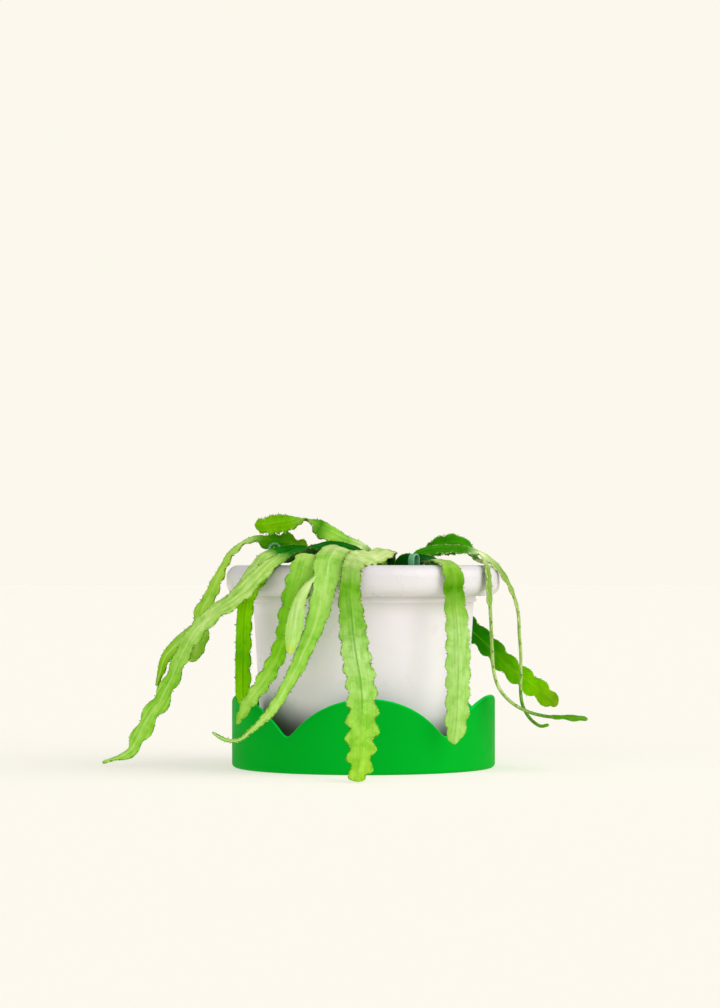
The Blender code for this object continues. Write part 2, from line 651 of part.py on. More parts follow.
class Blade:
    """The flat body of a stem, read by the length along its curve."""

    def __init__(self, stem):
        self.stem = stem
        self.rows = smooth_rows(stem.stops)
        steps = np.linalg.norm(np.diff(self.rows[:, :3], axis=0), axis=1)
        self.along = np.concatenate([[0.0], np.cumsum(steps)])
        self.total = self.along[-1]
        first = np.array(stem.stops[stem.blade_start][:3])
        away = np.linalg.norm(self.rows[:, :3] - first, axis=1)
        self.start = self.along[int(away.argmin())]

    def row(self, s):
        """The curve's row at this length."""
        s = min(max(s, 0.0), self.total)
        return np.array([np.interp(s, self.along, column) for column in self.rows.T])

    def share(self, s):
        """How far along the blade this length is, from 0 at its start to 1 at its tip."""
        return max(0.0, s - self.start) / (self.total - self.start)

    def lobe_count(self, s):
        """How many lobes lie between the blade's start and this length."""
        near, far = self.stem.lobes
        share = self.share(s)
        mean_lobe = near + (far - near) * share / 2
        return share * (self.total - self.start) / mean_lobe

    def edge_share(self, count, s):
        """Share of the half width that an edge has, from its place in its lobe."""
        near, far = self.stem.depth
        notch = near + (far - near) * self.share(s)
        swell = math.sin(math.pi * (count % 1.0) ** LOBE_LEAN) ** LOBE_ROUNDNESS
        return 1 - notch * (1 - swell)

    def stations(self):
        """The lengths at which the section is made, alike in each lobe."""
        steps = max(1, round(self.start / ROOT_STEP))
        found = [self.start * i / steps for i in range(steps)]
        fine = np.linspace(self.start, self.total, round(self.total / TANGENT_REACH))
        counts = [self.lobe_count(s) for s in fine]
        per_lobe = max(4, round(sum(self.stem.lobes) / 2 / STATION_STEP))
        for i in range(math.floor(counts[-1] * per_lobe) + 1):
            found.append(float(np.interp(i / per_lobe, counts, fine)))
        if self.total - found[-1] < LEAST_SPAN:
            found.pop()
        return found + [self.total]

    def section(self, s):
        """Six points: edge, rib and edge on the front, then the same on the back."""
        row = self.row(s)
        centre = row[:3]
        tangent = self.row(s + TANGENT_REACH)[:3] - self.row(s - TANGENT_REACH)[:3]
        tangent /= np.linalg.norm(tangent)
        facing = row[4:] - tangent * row[4:].dot(tangent)
        facing /= np.linalg.norm(facing)
        across = np.cross(tangent, facing)
        count = self.lobe_count(s)
        left = across * row[3] / 2 * self.edge_share(count, s)
        right = -across * row[3] / 2 * self.edge_share(count + 0.5, s)
        thinned = min(1.0, max(0.0, s - self.start) / THINNING_LENGTH)
        rib = np.interp(thinned, (0, 1), (ROOT_HALF_THICKNESS, RIB_HALF_THICKNESS))
        edge = np.interp(thinned, (0, 1), (ROOT_EDGE_HALF_THICKNESS, EDGE_HALF_THICKNESS))
        front = [centre + left + facing * edge, centre + facing * rib, centre + right + facing * edge]
        back = [centre + right - facing * edge, centre - facing * rib, centre + left - facing * edge]
        return front + back


def stem_mesh(stem):
    """A stem lofted along its curve, both faces split along like diagonals."""
    form = Blade(stem)
    bm = bmesh.new()
    rings = []
    for s in form.stations():
        rings.append([bm.verts.new(point * MM) for point in form.section(s)])
    for this, following in zip(rings, rings[1:]):
        join_rings(bm, this, following)
    for ring in (rings[0], rings[-1]):
        bm.faces.new((ring[0], ring[1], ring[4], ring[5]))
        bm.faces.new((ring[1], ring[2], ring[3], ring[4]))
    bmesh.ops.recalc_face_normals(bm, faces=bm.faces)
    return bm


def join_rings(bm, this, following):
    """Triangles between two sections, with matching diagonals on front and back."""
    mirror = {0: 5, 1: 4, 2: 3}
    for a, b in ((0, 1), (1, 2)):
        bm.faces.new((this[a], this[b], following[b]))
        bm.faces.new((this[a], following[b], following[a]))
        c, d = mirror[a], mirror[b]
        bm.faces.new((this[c], following[d], this[d]))
        bm.faces.new((this[c], following[c], following[d]))
    for a, b in ((2, 3), (5, 0)):
        bm.faces.new((this[a], this[b], following[b]))
        bm.faces.new((this[a], following[b], following[a]))


def stem_object(stem, collection):
    """The object of one stem."""
    colour = "stem_deep_green" if stem.deep else "stem_green"
    return object_from(stem_mesh(stem), stem.name, collection, make_material(colour))


def young_shoot(parent, cutters):
    """The pale shoot, joined to the stem that it grows from."""
    shoot = object_from(stem_mesh(YOUNG_SHOOT), YOUNG_SHOOT.name, cutters)
    hide(shoot)
    join = parent.modifiers.new("shoot", "BOOLEAN")
    join.operation = "UNION"
    join.object = shoot
    join.solver = "EXACT"


def pin(place, collection):
    """A plastic pin: a flat band bent into a loop with two straight legs."""
    name, x, y, top, turn = place
    bend = top - PIN_HALF_SPAN
    path = [(PIN_HALF_SPAN, top - PIN_LENGTH)]
    path += arc((0, bend), PIN_HALF_SPAN, 0, 180, 8)
    path.append((-PIN_HALF_SPAN, top - PIN_LENGTH))
    bm = bmesh.new()
    rows = []
    for across, z in path:
        row = []
        for side in (-PIN_BAND / 2, PIN_BAND / 2):
            row.append(bm.verts.new((across * MM, side * MM, z * MM)))
        rows.append(row)
    for this, following in zip(rows, rows[1:]):
        bm.faces.new((this[0], this[1], following[1], following[0]))
    obj = object_from(bm, name, collection, make_material("pin_teal"))
    obj.location = (x * MM, y * MM, 0)
    obj.rotation_euler = (0, 0, math.radians(turn))
    band = obj.modifiers.new("band", "SOLIDIFY")
    band.thickness = PIN_THICKNESS * MM
    band.offset = 0
    return obj


def main():
    clear_scene()
    parts = make_collection("Potted fishbone cactus")
    cutters = make_collection("Cutters for the soil", hidden=True)
    joined = make_collection("Shapes joined to a stem", hidden=True)
    saucer(parts)
    pot(parts)
    soil(parts, cutters)
    for stem in STEMS:
        obj = stem_object(stem, parts)
        if stem.name == YOUNG_SHOOT_PARENT:
            young_shoot(obj, joined)
    for place in PINS:
        pin(place, parts)


if __name__ == "__main__":
    main()
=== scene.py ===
"""Potted fishbone cactus in its saucer: the finished pieces and their materials.

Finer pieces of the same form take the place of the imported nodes: a turned pot, a lobed
saucer with a rounded lip, crumbly soil, stems with ribs, veins and bristles, and two
plastic pins. Units are metres, +Z is up and -Y is the front. Routes and profiles are
written in millimetres and scaled by MM.
"""

import logging
import math
from collections.abc import Sequence
from dataclasses import dataclass, field, replace
from enum import Enum
from typing import Any

import bmesh
import bpy
import numpy as np
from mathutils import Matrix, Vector

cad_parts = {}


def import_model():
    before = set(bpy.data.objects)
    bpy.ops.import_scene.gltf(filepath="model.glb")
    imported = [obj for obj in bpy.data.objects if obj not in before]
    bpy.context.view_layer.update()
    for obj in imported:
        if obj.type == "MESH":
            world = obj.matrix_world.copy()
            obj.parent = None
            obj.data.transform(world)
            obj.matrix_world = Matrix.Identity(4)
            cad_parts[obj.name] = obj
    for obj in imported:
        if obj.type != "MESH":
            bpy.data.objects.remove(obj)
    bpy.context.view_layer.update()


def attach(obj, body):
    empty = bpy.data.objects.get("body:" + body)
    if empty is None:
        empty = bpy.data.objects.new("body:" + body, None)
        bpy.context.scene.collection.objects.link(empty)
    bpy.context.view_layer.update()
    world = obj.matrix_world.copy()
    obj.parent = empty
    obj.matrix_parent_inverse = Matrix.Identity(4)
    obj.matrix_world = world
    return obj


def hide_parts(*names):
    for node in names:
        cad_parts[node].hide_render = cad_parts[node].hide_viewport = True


LOG = logging.getLogger("potted_fishbone_cactus")
BODY = "root"
MM = 0.001
SQUARE_CM_PER_SQUARE_M = 10000

Colour = tuple[float, float, float]
Triple = tuple[float, float, float]
Socket = bpy.types.NodeSocket
Stop = tuple[float, float, float, float, Triple]
Tone = tuple[float, Colour]

# Ways that a blade can face
UP = (0, 0, 1)
FRONT = (0, -1, 0)
FRONT_UP = (0, -0.75, 0.65)
UP_FRONT = (0, -0.45, 0.9)
FRONT_TILTED = (0, -1, 0.3)
LEFT_FRONT = (-0.3, -0.95, 0)
BACK = (0, 1, 0)
UP_BACK = (0, 0.4, 0.9)
RIGHT = (1, 0, 0)
RIGHT_BACK = (0.35, 0.9, 0.25)


class Slot(Enum):
    """The record's material slots."""

    SAUCER = "saucer_green"
    POT = "pot_white"
    SOIL = "soil_brown"
    STEM = "stem_green"
    DEEP_STEM = "stem_deep_green"
    PIN = "pin_teal"


def paint(red: int, green: int, blue: int) -> Colour:
    """A display colour, with channels from 0 to 255, as the linear colour that shaders take.

    Args:
        red: The red channel.
        green: The green channel.
        blue: The blue channel.

    Returns:
        The three linear channels.
    """
    toe, toe_slope, offset, power, top = 0.04045, 12.92, 0.055, 2.4, 255
    linear = []
    for channel in (red, green, blue):
        share = channel / top
        if share <= toe:
            linear.append(share / toe_slope)
        else:
            linear.append(((share + offset) / (1 + offset)) ** power)
    return (linear[0], linear[1], linear[2])


def painted(*stops: tuple[float, int, int, int]) -> tuple[Tone, ...]:
    """Places from 0 to 1, each with the channels of a display colour, as places with paints."""
    return tuple((place, paint(*channels)) for place, *channels in stops)


@dataclass(frozen=True)
class Pattern:
    """Soft random patches.

    grain is a patch's size in millimetres and detail is how many finer layers lie on top.
    A mark begins where the noise is at low, and it is full where the noise is at high.
    """

    grain: float
    detail: float
    low: float
    high: float


def socket_of(sockets: Any, key: str) -> Socket:
    """A node's socket by its identifier, or else by its name.

    Args:
        sockets: The node's inputs or outputs.
        key: The identifier or the name.

    Returns:
        The socket.
    """
    for socket in sockets:
        if socket.identifier == key:
            return socket
    return sockets[key]


class Graph:
    """Short calls that make, set and link the nodes of one tree."""

    def __init__(self, tree: bpy.types.NodeTree) -> None:
        """Works on this tree."""
        self.tree = tree

    def add(self, kind: str, inputs: dict[str, Any] | None = None, **settings: Any) -> bpy.types.Node:
        """Makes a node.

        Args:
            kind: The node's type.
            inputs: A value or a socket for each named input.
            settings: The node's own options.

        Returns:
            The node.
        """
        node = self.tree.nodes.new(kind)
        for name, value in settings.items():
            setattr(node, name, value)
        for key, value in (inputs or {}).items():
            self.feed(socket_of(node.inputs, key), value)
        return node

    def feed(self, socket: Socket, value: Any) -> None:
        """Feeds a node's input.

        Args:
            socket: The input.
            value: A socket to link into it, or its value.
        """
        if isinstance(value, bpy.types.NodeSocket):
            self.tree.links.new(value, socket)
        else:
            socket.default_value = value

    def math(self, operation: str, first: Any, second: Any = 0.0) -> Socket:
        """One step of arithmetic.

        Args:
            operation: The Math node's operation.
            first: A value or a socket.
            second: A value or a socket.

        Returns:
            The result's socket.
        """
        values = {"Value": first, "Value_001": second}
        return self.add("ShaderNodeMath", values, operation=operation).outputs[0]

    def times(self, first: Any, second: Any) -> Socket:
        """The product of two values or sockets."""
        return self.math("MULTIPLY", first, second)

    def vector_math(self, operation: str, first: Any, second: Any) -> Socket:
        """One step of arithmetic on two vectors.

        Args:
            operation: The Vector Math node's operation.
            first: A value or a socket.
            second: A value or a socket.

        Returns:
            The resulting vector's socket.
        """
        values = {"Vector": first, "Vector_001": second}
        return self.add("ShaderNodeVectorMath", values, operation=operation).outputs[0]

    def scaled(self, vector: Socket, factor: Any) -> Socket:
        """The vector made longer or shorter by a factor."""
        values = {"Vector": vector, "Scale": factor}
        return self.add("ShaderNodeVectorMath", values, operation="SCALE").outputs[0]


class Finish(Graph):
    """The nodes of one material, round its Principled shader."""

    def __init__(self, name: str) -> None:
        """Makes a new material.

        Args:
            name: The material's name.
        """
        self.material = bpy.data.materials.new(name)
        self.material.use_nodes = True
        super().__init__(self.material.node_tree)
        self.shader = self.tree.nodes["Principled BSDF"]
        self.place = self.add("ShaderNodeTexCoord").outputs["Object"]

    def constants(self, **values: float) -> None:
        """Sets the shader's own sockets, named with underscores for their spaces."""
        for name, value in values.items():
            self.shader.inputs[name.replace("_", " ")].default_value = value

    def drive(self, name: str, value: Any) -> None:
        """Links a socket or sets a value on one of the shader's inputs."""
        self.feed(self.shader.inputs[name], value)

    def noise(self, grain: float, detail: float, stretch: Triple = (1, 1, 1)) -> Socket:
        """Soft random variation over the object.

        Args:
            grain: Size of one blotch, in millimetres.
            detail: How many finer layers lie on top.
            stretch: Factors along the axes, more for finer blotches.

        Returns:
            The factor's socket, about 0.5 on average.
        """
        place = self.vector_math("MULTIPLY", self.place, stretch)
        inputs = {"Vector": place, "Scale": 1 / (grain * MM), "Detail": detail}
        return self.add("ShaderNodeTexNoise", inputs).outputs["Fac"]

    def cells(self, grain: float) -> Socket:
        """Distance from the nearest of many scattered points, for specks of this spacing in mm."""
        inputs = {"Vector": self.place, "Scale": 1 / (grain * MM)}
        return self.add("ShaderNodeTexVoronoi", inputs).outputs["Distance"]

    def span(self, value: Socket, low: float, high: float, start: float = 0.0, end: float = 1.0) -> Socket:
        """A smooth step from one value to another.

        Args:
            value: What is measured.
            low: Where the step begins.
            high: Where the step ends.
            start: The result at low.
            end: The result at high.

        Returns:
            The stepped value's socket.
        """
        inputs = {
            "Value": value,
            "From Min": low,
            "From Max": high,
            "To Min": start,
            "To Max": end,
        }
        node = self.add("ShaderNodeMapRange", inputs, interpolation_type="SMOOTHSTEP")
        return node.outputs["Result"]

    def patches(self, pattern: Pattern, start: float = 0.0, end: float = 1.0) -> Socket:
        """A smooth step over a random pattern.

        Args:
            pattern: The pattern.
            start: The result where a mark begins.
            end: The result where it is full.

        Returns:
            The stepped value's socket.
        """
        noise = self.noise(pattern.grain, pattern.detail)
        return self.span(noise, pattern.low, pattern.high, start, end)

    def blend(self, factor: Any, first: Any, second: Any, kind: str = "MIX") -> Socket:
        """Two colours mixed.

        Args:
            factor: Share of the second colour.
            first: The colour under it.
            second: The colour laid over it.
            kind: The way in which they blend.

        Returns:
            The mixed colour's socket.
        """
        inputs = {"Factor_Float": factor, "A_Color": opaque(first), "B_Color": opaque(second)}
        node = self.add("ShaderNodeMix", inputs, data_type="RGBA", blend_type=kind)
        return socket_of(node.outputs, "Result_Color")

    def toned(self, share: Socket, colour: Socket, tone: Colour) -> Socket:
        """The colour multiplied by a tone, to this share."""
        return self.blend(share, colour, self.blend(1.0, colour, tone, "MULTIPLY"))

    def ramp(self, value: Socket, stops: Sequence[Tone]) -> Socket:
        """A colour that changes along a value.

        Args:
            value: What is measured, from 0 to 1.
            stops: Places on the ramp, each with its colour.

        Returns:
            The colour's socket.
        """
        node = self.add("ShaderNodeValToRGB", {"Fac": value})
        elements = node.color_ramp.elements
        while len(elements) < len(stops):
            elements.new(1.0)
        for element, (position, colour) in zip(elements, stops):
            element.position = position
            element.color = opaque(colour)
        return node.outputs["Color"]

    def relief(self, height: Socket, depth: float, strength: float) -> None:
        """Bumps the surface by a height of 0 to 1 that stands for this depth in millimetres."""
        inputs = {"Height": height, "Distance": depth * MM, "Strength": strength}
        self.drive("Normal", self.add("ShaderNodeBump", inputs).outputs["Normal"])


def opaque(colour: Any) -> Any:
    """A colour with full alpha, or the socket as it is.

    Args:
        colour: A linear colour or a socket.

    Returns:
        Red, green, blue and alpha, or the socket.
    """
    if isinstance(colour, bpy.types.NodeSocket):
        return colour
    return (*colour, 1.0)


class Maker(Graph):
    """A geometry node tree with named inputs, built step by step."""

    def __init__(self, name: str, inputs: dict[str, str]) -> None:
        """Makes a tree that takes geometry, these inputs and a material.

        Args:
            name: The tree's name.
            inputs: A kind of value for each input's name.
        """
        super().__init__(bpy.data.node_groups.new(name, "GeometryNodeTree"))
        sockets = self.tree.interface
        sockets.new_socket(name="Geometry", in_out="INPUT", socket_type="NodeSocketGeometry")
        for label, kind in {**inputs, "Material": "Material"}.items():
            sockets.new_socket(name=label, in_out="INPUT", socket_type="NodeSocket" + kind)
        sockets.new_socket(name="Geometry", in_out="OUTPUT", socket_type="NodeSocketGeometry")
        self.given = self.add("NodeGroupInput").outputs

    def named(self, name: str, data_type: str = "FLOAT_VECTOR") -> Socket:
        """The field that holds this attribute of the points."""
        node = self.add("GeometryNodeInputNamedAttribute", {"Name": name}, data_type=data_type)
        return node.outputs["Attribute"]

    def random_vector(self, low: float, high: float, seed: Any) -> Socket:
        """A random vector for each point, each part from low to high.

        Args:
            low: The least value.
            high: The greatest value.
            seed: The seed, as a value or a socket.

        Returns:
            The vectors' socket.
        """
        inputs = {"Min": (low,) * 3, "Max": (high,) * 3, "Seed": seed}
        node = self.add("FunctionNodeRandomValue", inputs, data_type="FLOAT_VECTOR")
        return node.outputs["Value"]

    def random_number(self, low: float, high: float, seed: Any) -> Socket:
        """A random number for each point, from low to high.

        Args:
            low: The least value.
            high: The greatest value.
            seed: The seed, as a value or a socket.

        Returns:
            The numbers' socket.
        """
        inputs = {"Min_001": low, "Max_001": high, "Seed": seed}
        node = self.add("FunctionNodeRandomValue", inputs, data_type="FLOAT")
        return socket_of(node.outputs, "Value_001")

    def copies(self, points: Socket, instance: Socket, **more: Socket) -> Socket:
        """A copy of the instance on each point, with any other inputs by their names."""
        inputs = {"Points": points, "Instance": instance, **more}
        return self.add("GeometryNodeInstanceOnPoints", inputs).outputs[0]

    def finish(self, geometry: Socket) -> None:
        """Ends the tree: instances made real, smooth and in the given material.

        Args:
            geometry: What the tree has made.
        """
        real = self.add("GeometryNodeRealizeInstances", {"Geometry": geometry})
        smooth = self.add("GeometryNodeSetShadeSmooth", {"Geometry": real.outputs[0]})
        inputs = {"Geometry": smooth.outputs[0], "Material": self.given["Material"]}
        dressed = self.add("GeometryNodeSetMaterial", inputs)
        self.add("NodeGroupOutput", {"Geometry": dressed.outputs[0]})

    def run(self, host: bpy.types.Object, values: dict[str, Any]) -> bpy.types.Mesh:
        """Runs the tree on an object and takes the object away.

        Args:
            host: The object that gives the tree its geometry.
            values: A value for each named input.

        Returns:
            The result as a plain mesh.
        """
        modifier = host.modifiers.new(self.tree.name, "NODES")
        modifier.node_group = self.tree
        for item in self.tree.interface.items_tree:
            if item.in_out == "INPUT" and item.name in values:
                modifier[item.identifier] = values[item.name]
        depsgraph = bpy.context.evaluated_depsgraph_get()
        mesh = bpy.data.meshes.new_from_object(host.evaluated_get(depsgraph))
        host.modifiers.remove(modifier)
        bpy.data.objects.remove(host)
        return mesh


def grid_quads(rows: int, columns: int) -> np.ndarray:
    """Quads between the neighbouring rings of a grid whose rows are closed rings.

    Args:
        rows: How many rings.
        columns: How many points a ring has.

    Returns:
        Four point numbers for each quad.
    """
    start = np.arange(rows - 1)[:, None] * columns
    this = np.arange(columns)[None, :]
    following = (this + 1) % columns
    corners = [start + this, start + following, start + columns + following, start + columns + this]
    return np.stack(corners, axis=-1).reshape(-1, 4)


def closed_mesh(name: str, rings: np.ndarray) -> bpy.types.Mesh:
    """A closed skin over a row of rings, with a point at the middle of each end.

    Args:
        name: The mesh's name.
        rings: Points in millimetres, as rows of rings.

    Returns:
        The mesh, smooth and with its faces pointing out. Its last two points are the ends'.
    """
    rows, columns, _ = rings.shape
    points = rings.reshape(-1, 3)
    ends = [rings[0].mean(axis=0), rings[-1].mean(axis=0)]
    faces = grid_quads(rows, columns).tolist()
    last = (rows - 1) * columns
    for i in range(columns):
        following = (i + 1) % columns
        faces.append([following, i, len(points)])
        faces.append([last + i, last + following, len(points) + 1])
    mesh = bpy.data.meshes.new(name)
    mesh.from_pydata((np.vstack([points, ends]) * MM).tolist(), [], faces)
    face_outwards(mesh)
    mesh.shade_smooth()
    return mesh


def face_outwards(mesh: bpy.types.Mesh) -> None:
    """Turns a closed mesh's faces round where it holds a negative volume.

    Args:
        mesh: The closed mesh, which is changed in place.
    """
    bm = bmesh.new()
    bm.from_mesh(mesh)
    if bm.calc_volume(signed=True) < 0:
        bmesh.ops.reverse_faces(bm, faces=bm.faces)
        bm.to_mesh(mesh)
    bm.free()


def store(mesh: bpy.types.Mesh, name: str, values: np.ndarray) -> None:
    """Keeps values for the points of a mesh as an attribute.

    Args:
        mesh: The mesh.
        name: The attribute's name.
        values: A number, or a row of three, for each point.
    """
    kind, part = ("FLOAT", "value") if values.ndim == 1 else ("FLOAT_VECTOR", "vector")
    attribute = mesh.attributes.new(name, kind, "POINT")
    attribute.data.foreach_set(part, values.astype(np.float32).ravel())


def place_object(name: str, data: bpy.types.ID) -> bpy.types.Object:
    """Puts a new object with a mesh, a light or a camera into the scene.

    Args:
        name: The object's name.
        data: What it shows.

    Returns:
        The object.
    """
    obj = bpy.data.objects.new(name, data)
    bpy.context.scene.collection.objects.link(obj)
    return obj


def set_piece(
    name: str, mesh: bpy.types.Mesh, material: bpy.types.Material, slot: Slot, *nodes: str
) -> None:
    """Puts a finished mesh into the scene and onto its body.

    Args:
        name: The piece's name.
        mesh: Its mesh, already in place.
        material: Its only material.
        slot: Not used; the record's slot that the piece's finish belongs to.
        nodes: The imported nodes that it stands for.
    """
    obj = place_object(name, mesh)
    mesh.materials.clear()
    mesh.materials.append(material)
    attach(obj, BODY)
    if nodes:
        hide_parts(*nodes)
    LOG.info("%s: %d faces", name, len(mesh.polygons))


def arc(centre: tuple[float, float], radius: float, start: float, end: float, steps: int) -> list:
    """Points on an arc.

    Args:
        centre: Its centre, across and up.
        radius: Its radius.
        start: The first point's angle in degrees from +X.
        end: The last point's angle.
        steps: How many chords it has.

    Returns:
        The points, across and up.
    """
    angles = np.radians(np.linspace(start, end, steps + 1))
    across = centre[0] + radius * np.cos(angles)
    up = centre[1] + radius * np.sin(angles)
    return list(zip(across.tolist(), up.tolist()))


@dataclass(frozen=True)
class PlasticFinish:
    """Moulded plastic: even colour with faint clouding, a fine grain and a soft gloss, and a painted
    highlight along the lip where a lip colour is given.
    """

    name: str
    colour: Colour
    cloud: Colour
    dust: Colour
    roughness: float = 0.45
    roughness_spread: float = 0.06
    specular: float = 0.2
    refraction: float = 1.49
    clouding: Pattern = Pattern(45.0, 4.0, 0.35, 0.7)
    cloud_share: float = 0.35
    dusting: Pattern = Pattern(2.2, 5.0, 0.6, 0.8)
    dust_share: float = 0.05
    wear: Pattern = Pattern(9.0, 4.0, 0.3, 0.7)
    # Colour of the painted highlight along the lip, and how strongly it is laid on
    lip: Colour | None = None
    lip_highlight_share: float = 0.7
    grain: float = 0.35
    grain_detail: float = 2.0
    grain_depth: float = 0.05
    grain_strength: float = 0.35

    def material(self) -> bpy.types.Material:
        """Makes the material.

        Returns:
            The material.
        """
        finish = Finish(self.name)
        cloud = finish.times(finish.patches(self.clouding), self.cloud_share)
        colour = finish.blend(cloud, self.colour, self.cloud)
        dust = finish.times(finish.patches(self.dusting), self.dust_share)
        colour = finish.blend(dust, colour, self.dust)
        # Painted highlight: the lip is painted a brighter green, as if catching the light
        if self.lip:
            lip = finish.add("ShaderNodeAttribute", attribute_name="lip").outputs["Fac"]
            colour = finish.blend(finish.times(lip, self.lip_highlight_share), colour, self.lip)
        finish.drive("Base Color", colour)
        low, high = self.roughness - self.roughness_spread, self.roughness + self.roughness_spread
        finish.drive("Roughness", finish.patches(self.wear, low, high))
        finish.constants(Specular_IOR_Level=self.specular, IOR=self.refraction)
        grain = finish.noise(self.grain, self.grain_detail)
        finish.relief(grain, self.grain_depth, self.grain_strength)
        return finish.material


@dataclass(frozen=True)
class GlazeFinish:
    """White fired ware under a satin glaze, with faint clouding, pinholes and throwing marks, a rim
    painted darker as painted shade and a painted shadow round the foot.
    """

    name: str = "pot_glaze"
    colour: Colour = paint(246, 238, 243)
    # Painted shade: the rim band is painted greyer than the body, to darken the rim as if in shade
    painted_shade_rim: Colour = paint(227, 222, 222)
    rim_heights: tuple[float, float] = (117.0, 123.0)
    cloud: Colour = (0.965, 0.965, 0.965)
    clouding: Pattern = Pattern(38.0, 5.0, 0.35, 0.7)
    # Painted shadow round the foot, where the pot meets the saucer: its colour, its strength, the heights
    # over which it fades and its slant along X
    damp_soil_and_painted_shade: Colour = paint(60, 50, 50)
    painted_shade_share: float = 0.85
    painted_shade_reach: tuple[float, float] = (21.0, 47.0)
    painted_shade_slant: float = 0.12
    speck: Colour = paint(190, 182, 170)
    speck_share: float = 0.2
    speck_spacing: float = 7.0
    speck_reach: tuple[float, float] = (0.025, 0.045)
    satin: Pattern = Pattern(14.0, 4.0, 0.3, 0.7)
    roughness: tuple[float, float] = (0.27, 0.4)
    specular: float = 0.4
    coat: float = 0.12
    coat_roughness: float = 0.2
    mark_grain: float = 1.6
    mark_stretch: Triple = (0.02, 0.02, 1.0)
    mark_share: float = 0.6
    peel_grain: float = 2.5
    relief_detail: float = 2.0
    relief_depth: float = 0.03
    relief_strength: float = 0.15

    def material(self) -> bpy.types.Material:
        """Makes the material.

        Returns:
            The material.
        """
        finish = Finish(self.name)
        place = finish.add("ShaderNodeSeparateXYZ", {"Vector": finish.place}).outputs
        low, high = self.rim_heights
        # The rim band takes the colour of its painted shade
        at_rim = finish.span(place["Z"], low * MM, high * MM)
        colour = finish.blend(at_rim, self.colour, self.painted_shade_rim)
        colour = finish.toned(finish.patches(self.clouding), colour, self.cloud)
        specks = finish.span(finish.cells(self.speck_spacing), *self.speck_reach, 1.0, 0.0)
        colour = finish.blend(finish.times(specks, self.speck_share), colour, self.speck)
        # Painted shadow: the colour is darkest up to the first height of the reach and fades out by the
        # second (dry), reaching higher towards -X
        level = finish.math("ADD", place["Z"], finish.times(place["X"], self.painted_shade_slant))
        shade_full_height, dry = self.painted_shade_reach
        painted_foot_shade = finish.span(level, shade_full_height * MM, dry * MM, self.painted_shade_share, 0.0)
        finish.drive("Base Color", finish.blend(painted_foot_shade, colour, self.damp_soil_and_painted_shade))
        finish.drive("Roughness", finish.patches(self.satin, *self.roughness))
        finish.constants(
            Specular_IOR_Level=self.specular,
            Coat_Weight=self.coat,
            Coat_Roughness=self.coat_roughness,
        )
        marks = finish.noise(self.mark_grain, self.relief_detail, self.mark_stretch)
        orange_peel = finish.noise(self.peel_grain, self.relief_detail)
        height = finish.math("ADD", finish.times(marks, self.mark_share), orange_peel)
        finish.relief(height, self.relief_depth, self.relief_strength)
        return finish.material


@dataclass(frozen=True)
class SoilFinish:
    """Damp potting mix: dark crumbs with dry, paler faces and a few fibres."""

    name: str = "potting_mix"
    damp_soil_and_painted_shade: Colour = paint(44, 32, 24)
    earth: Colour = paint(84, 62, 44)
    dry: Colour = paint(128, 102, 76)
    tone_levels: Triple = (0.34, 0.52, 0.72)
    tone_grain: float = 6.0
    detail: float = 6.0
    coarseness: Pattern = Pattern(3.0, 3.0, 0.3, 0.7)
    roughness: tuple[float, float] = (0.8, 0.98)
    specular: float = 0.15
    fibre_grain: float = 0.8
    fibre_stretch: Triple = (1.0, 0.35, 1.0)
    relief_depth: float = 0.5
    relief_strength: float = 0.8

    def material(self) -> bpy.types.Material:
        """Makes the material.

        Returns:
            The material.
        """
        finish = Finish(self.name)
        stops = list(zip(self.tone_levels, (self.damp_soil_and_painted_shade, self.earth, self.dry)))
        finish.drive("Base Color", finish.ramp(finish.noise(self.tone_grain, self.detail), stops))
        finish.drive("Roughness", finish.patches(self.coarseness, *self.roughness))
        finish.constants(Specular_IOR_Level=self.specular)
        fibres = finish.noise(self.fibre_grain, self.detail, self.fibre_stretch)
        finish.relief(fibres, self.relief_depth, self.relief_strength)
        return finish.material


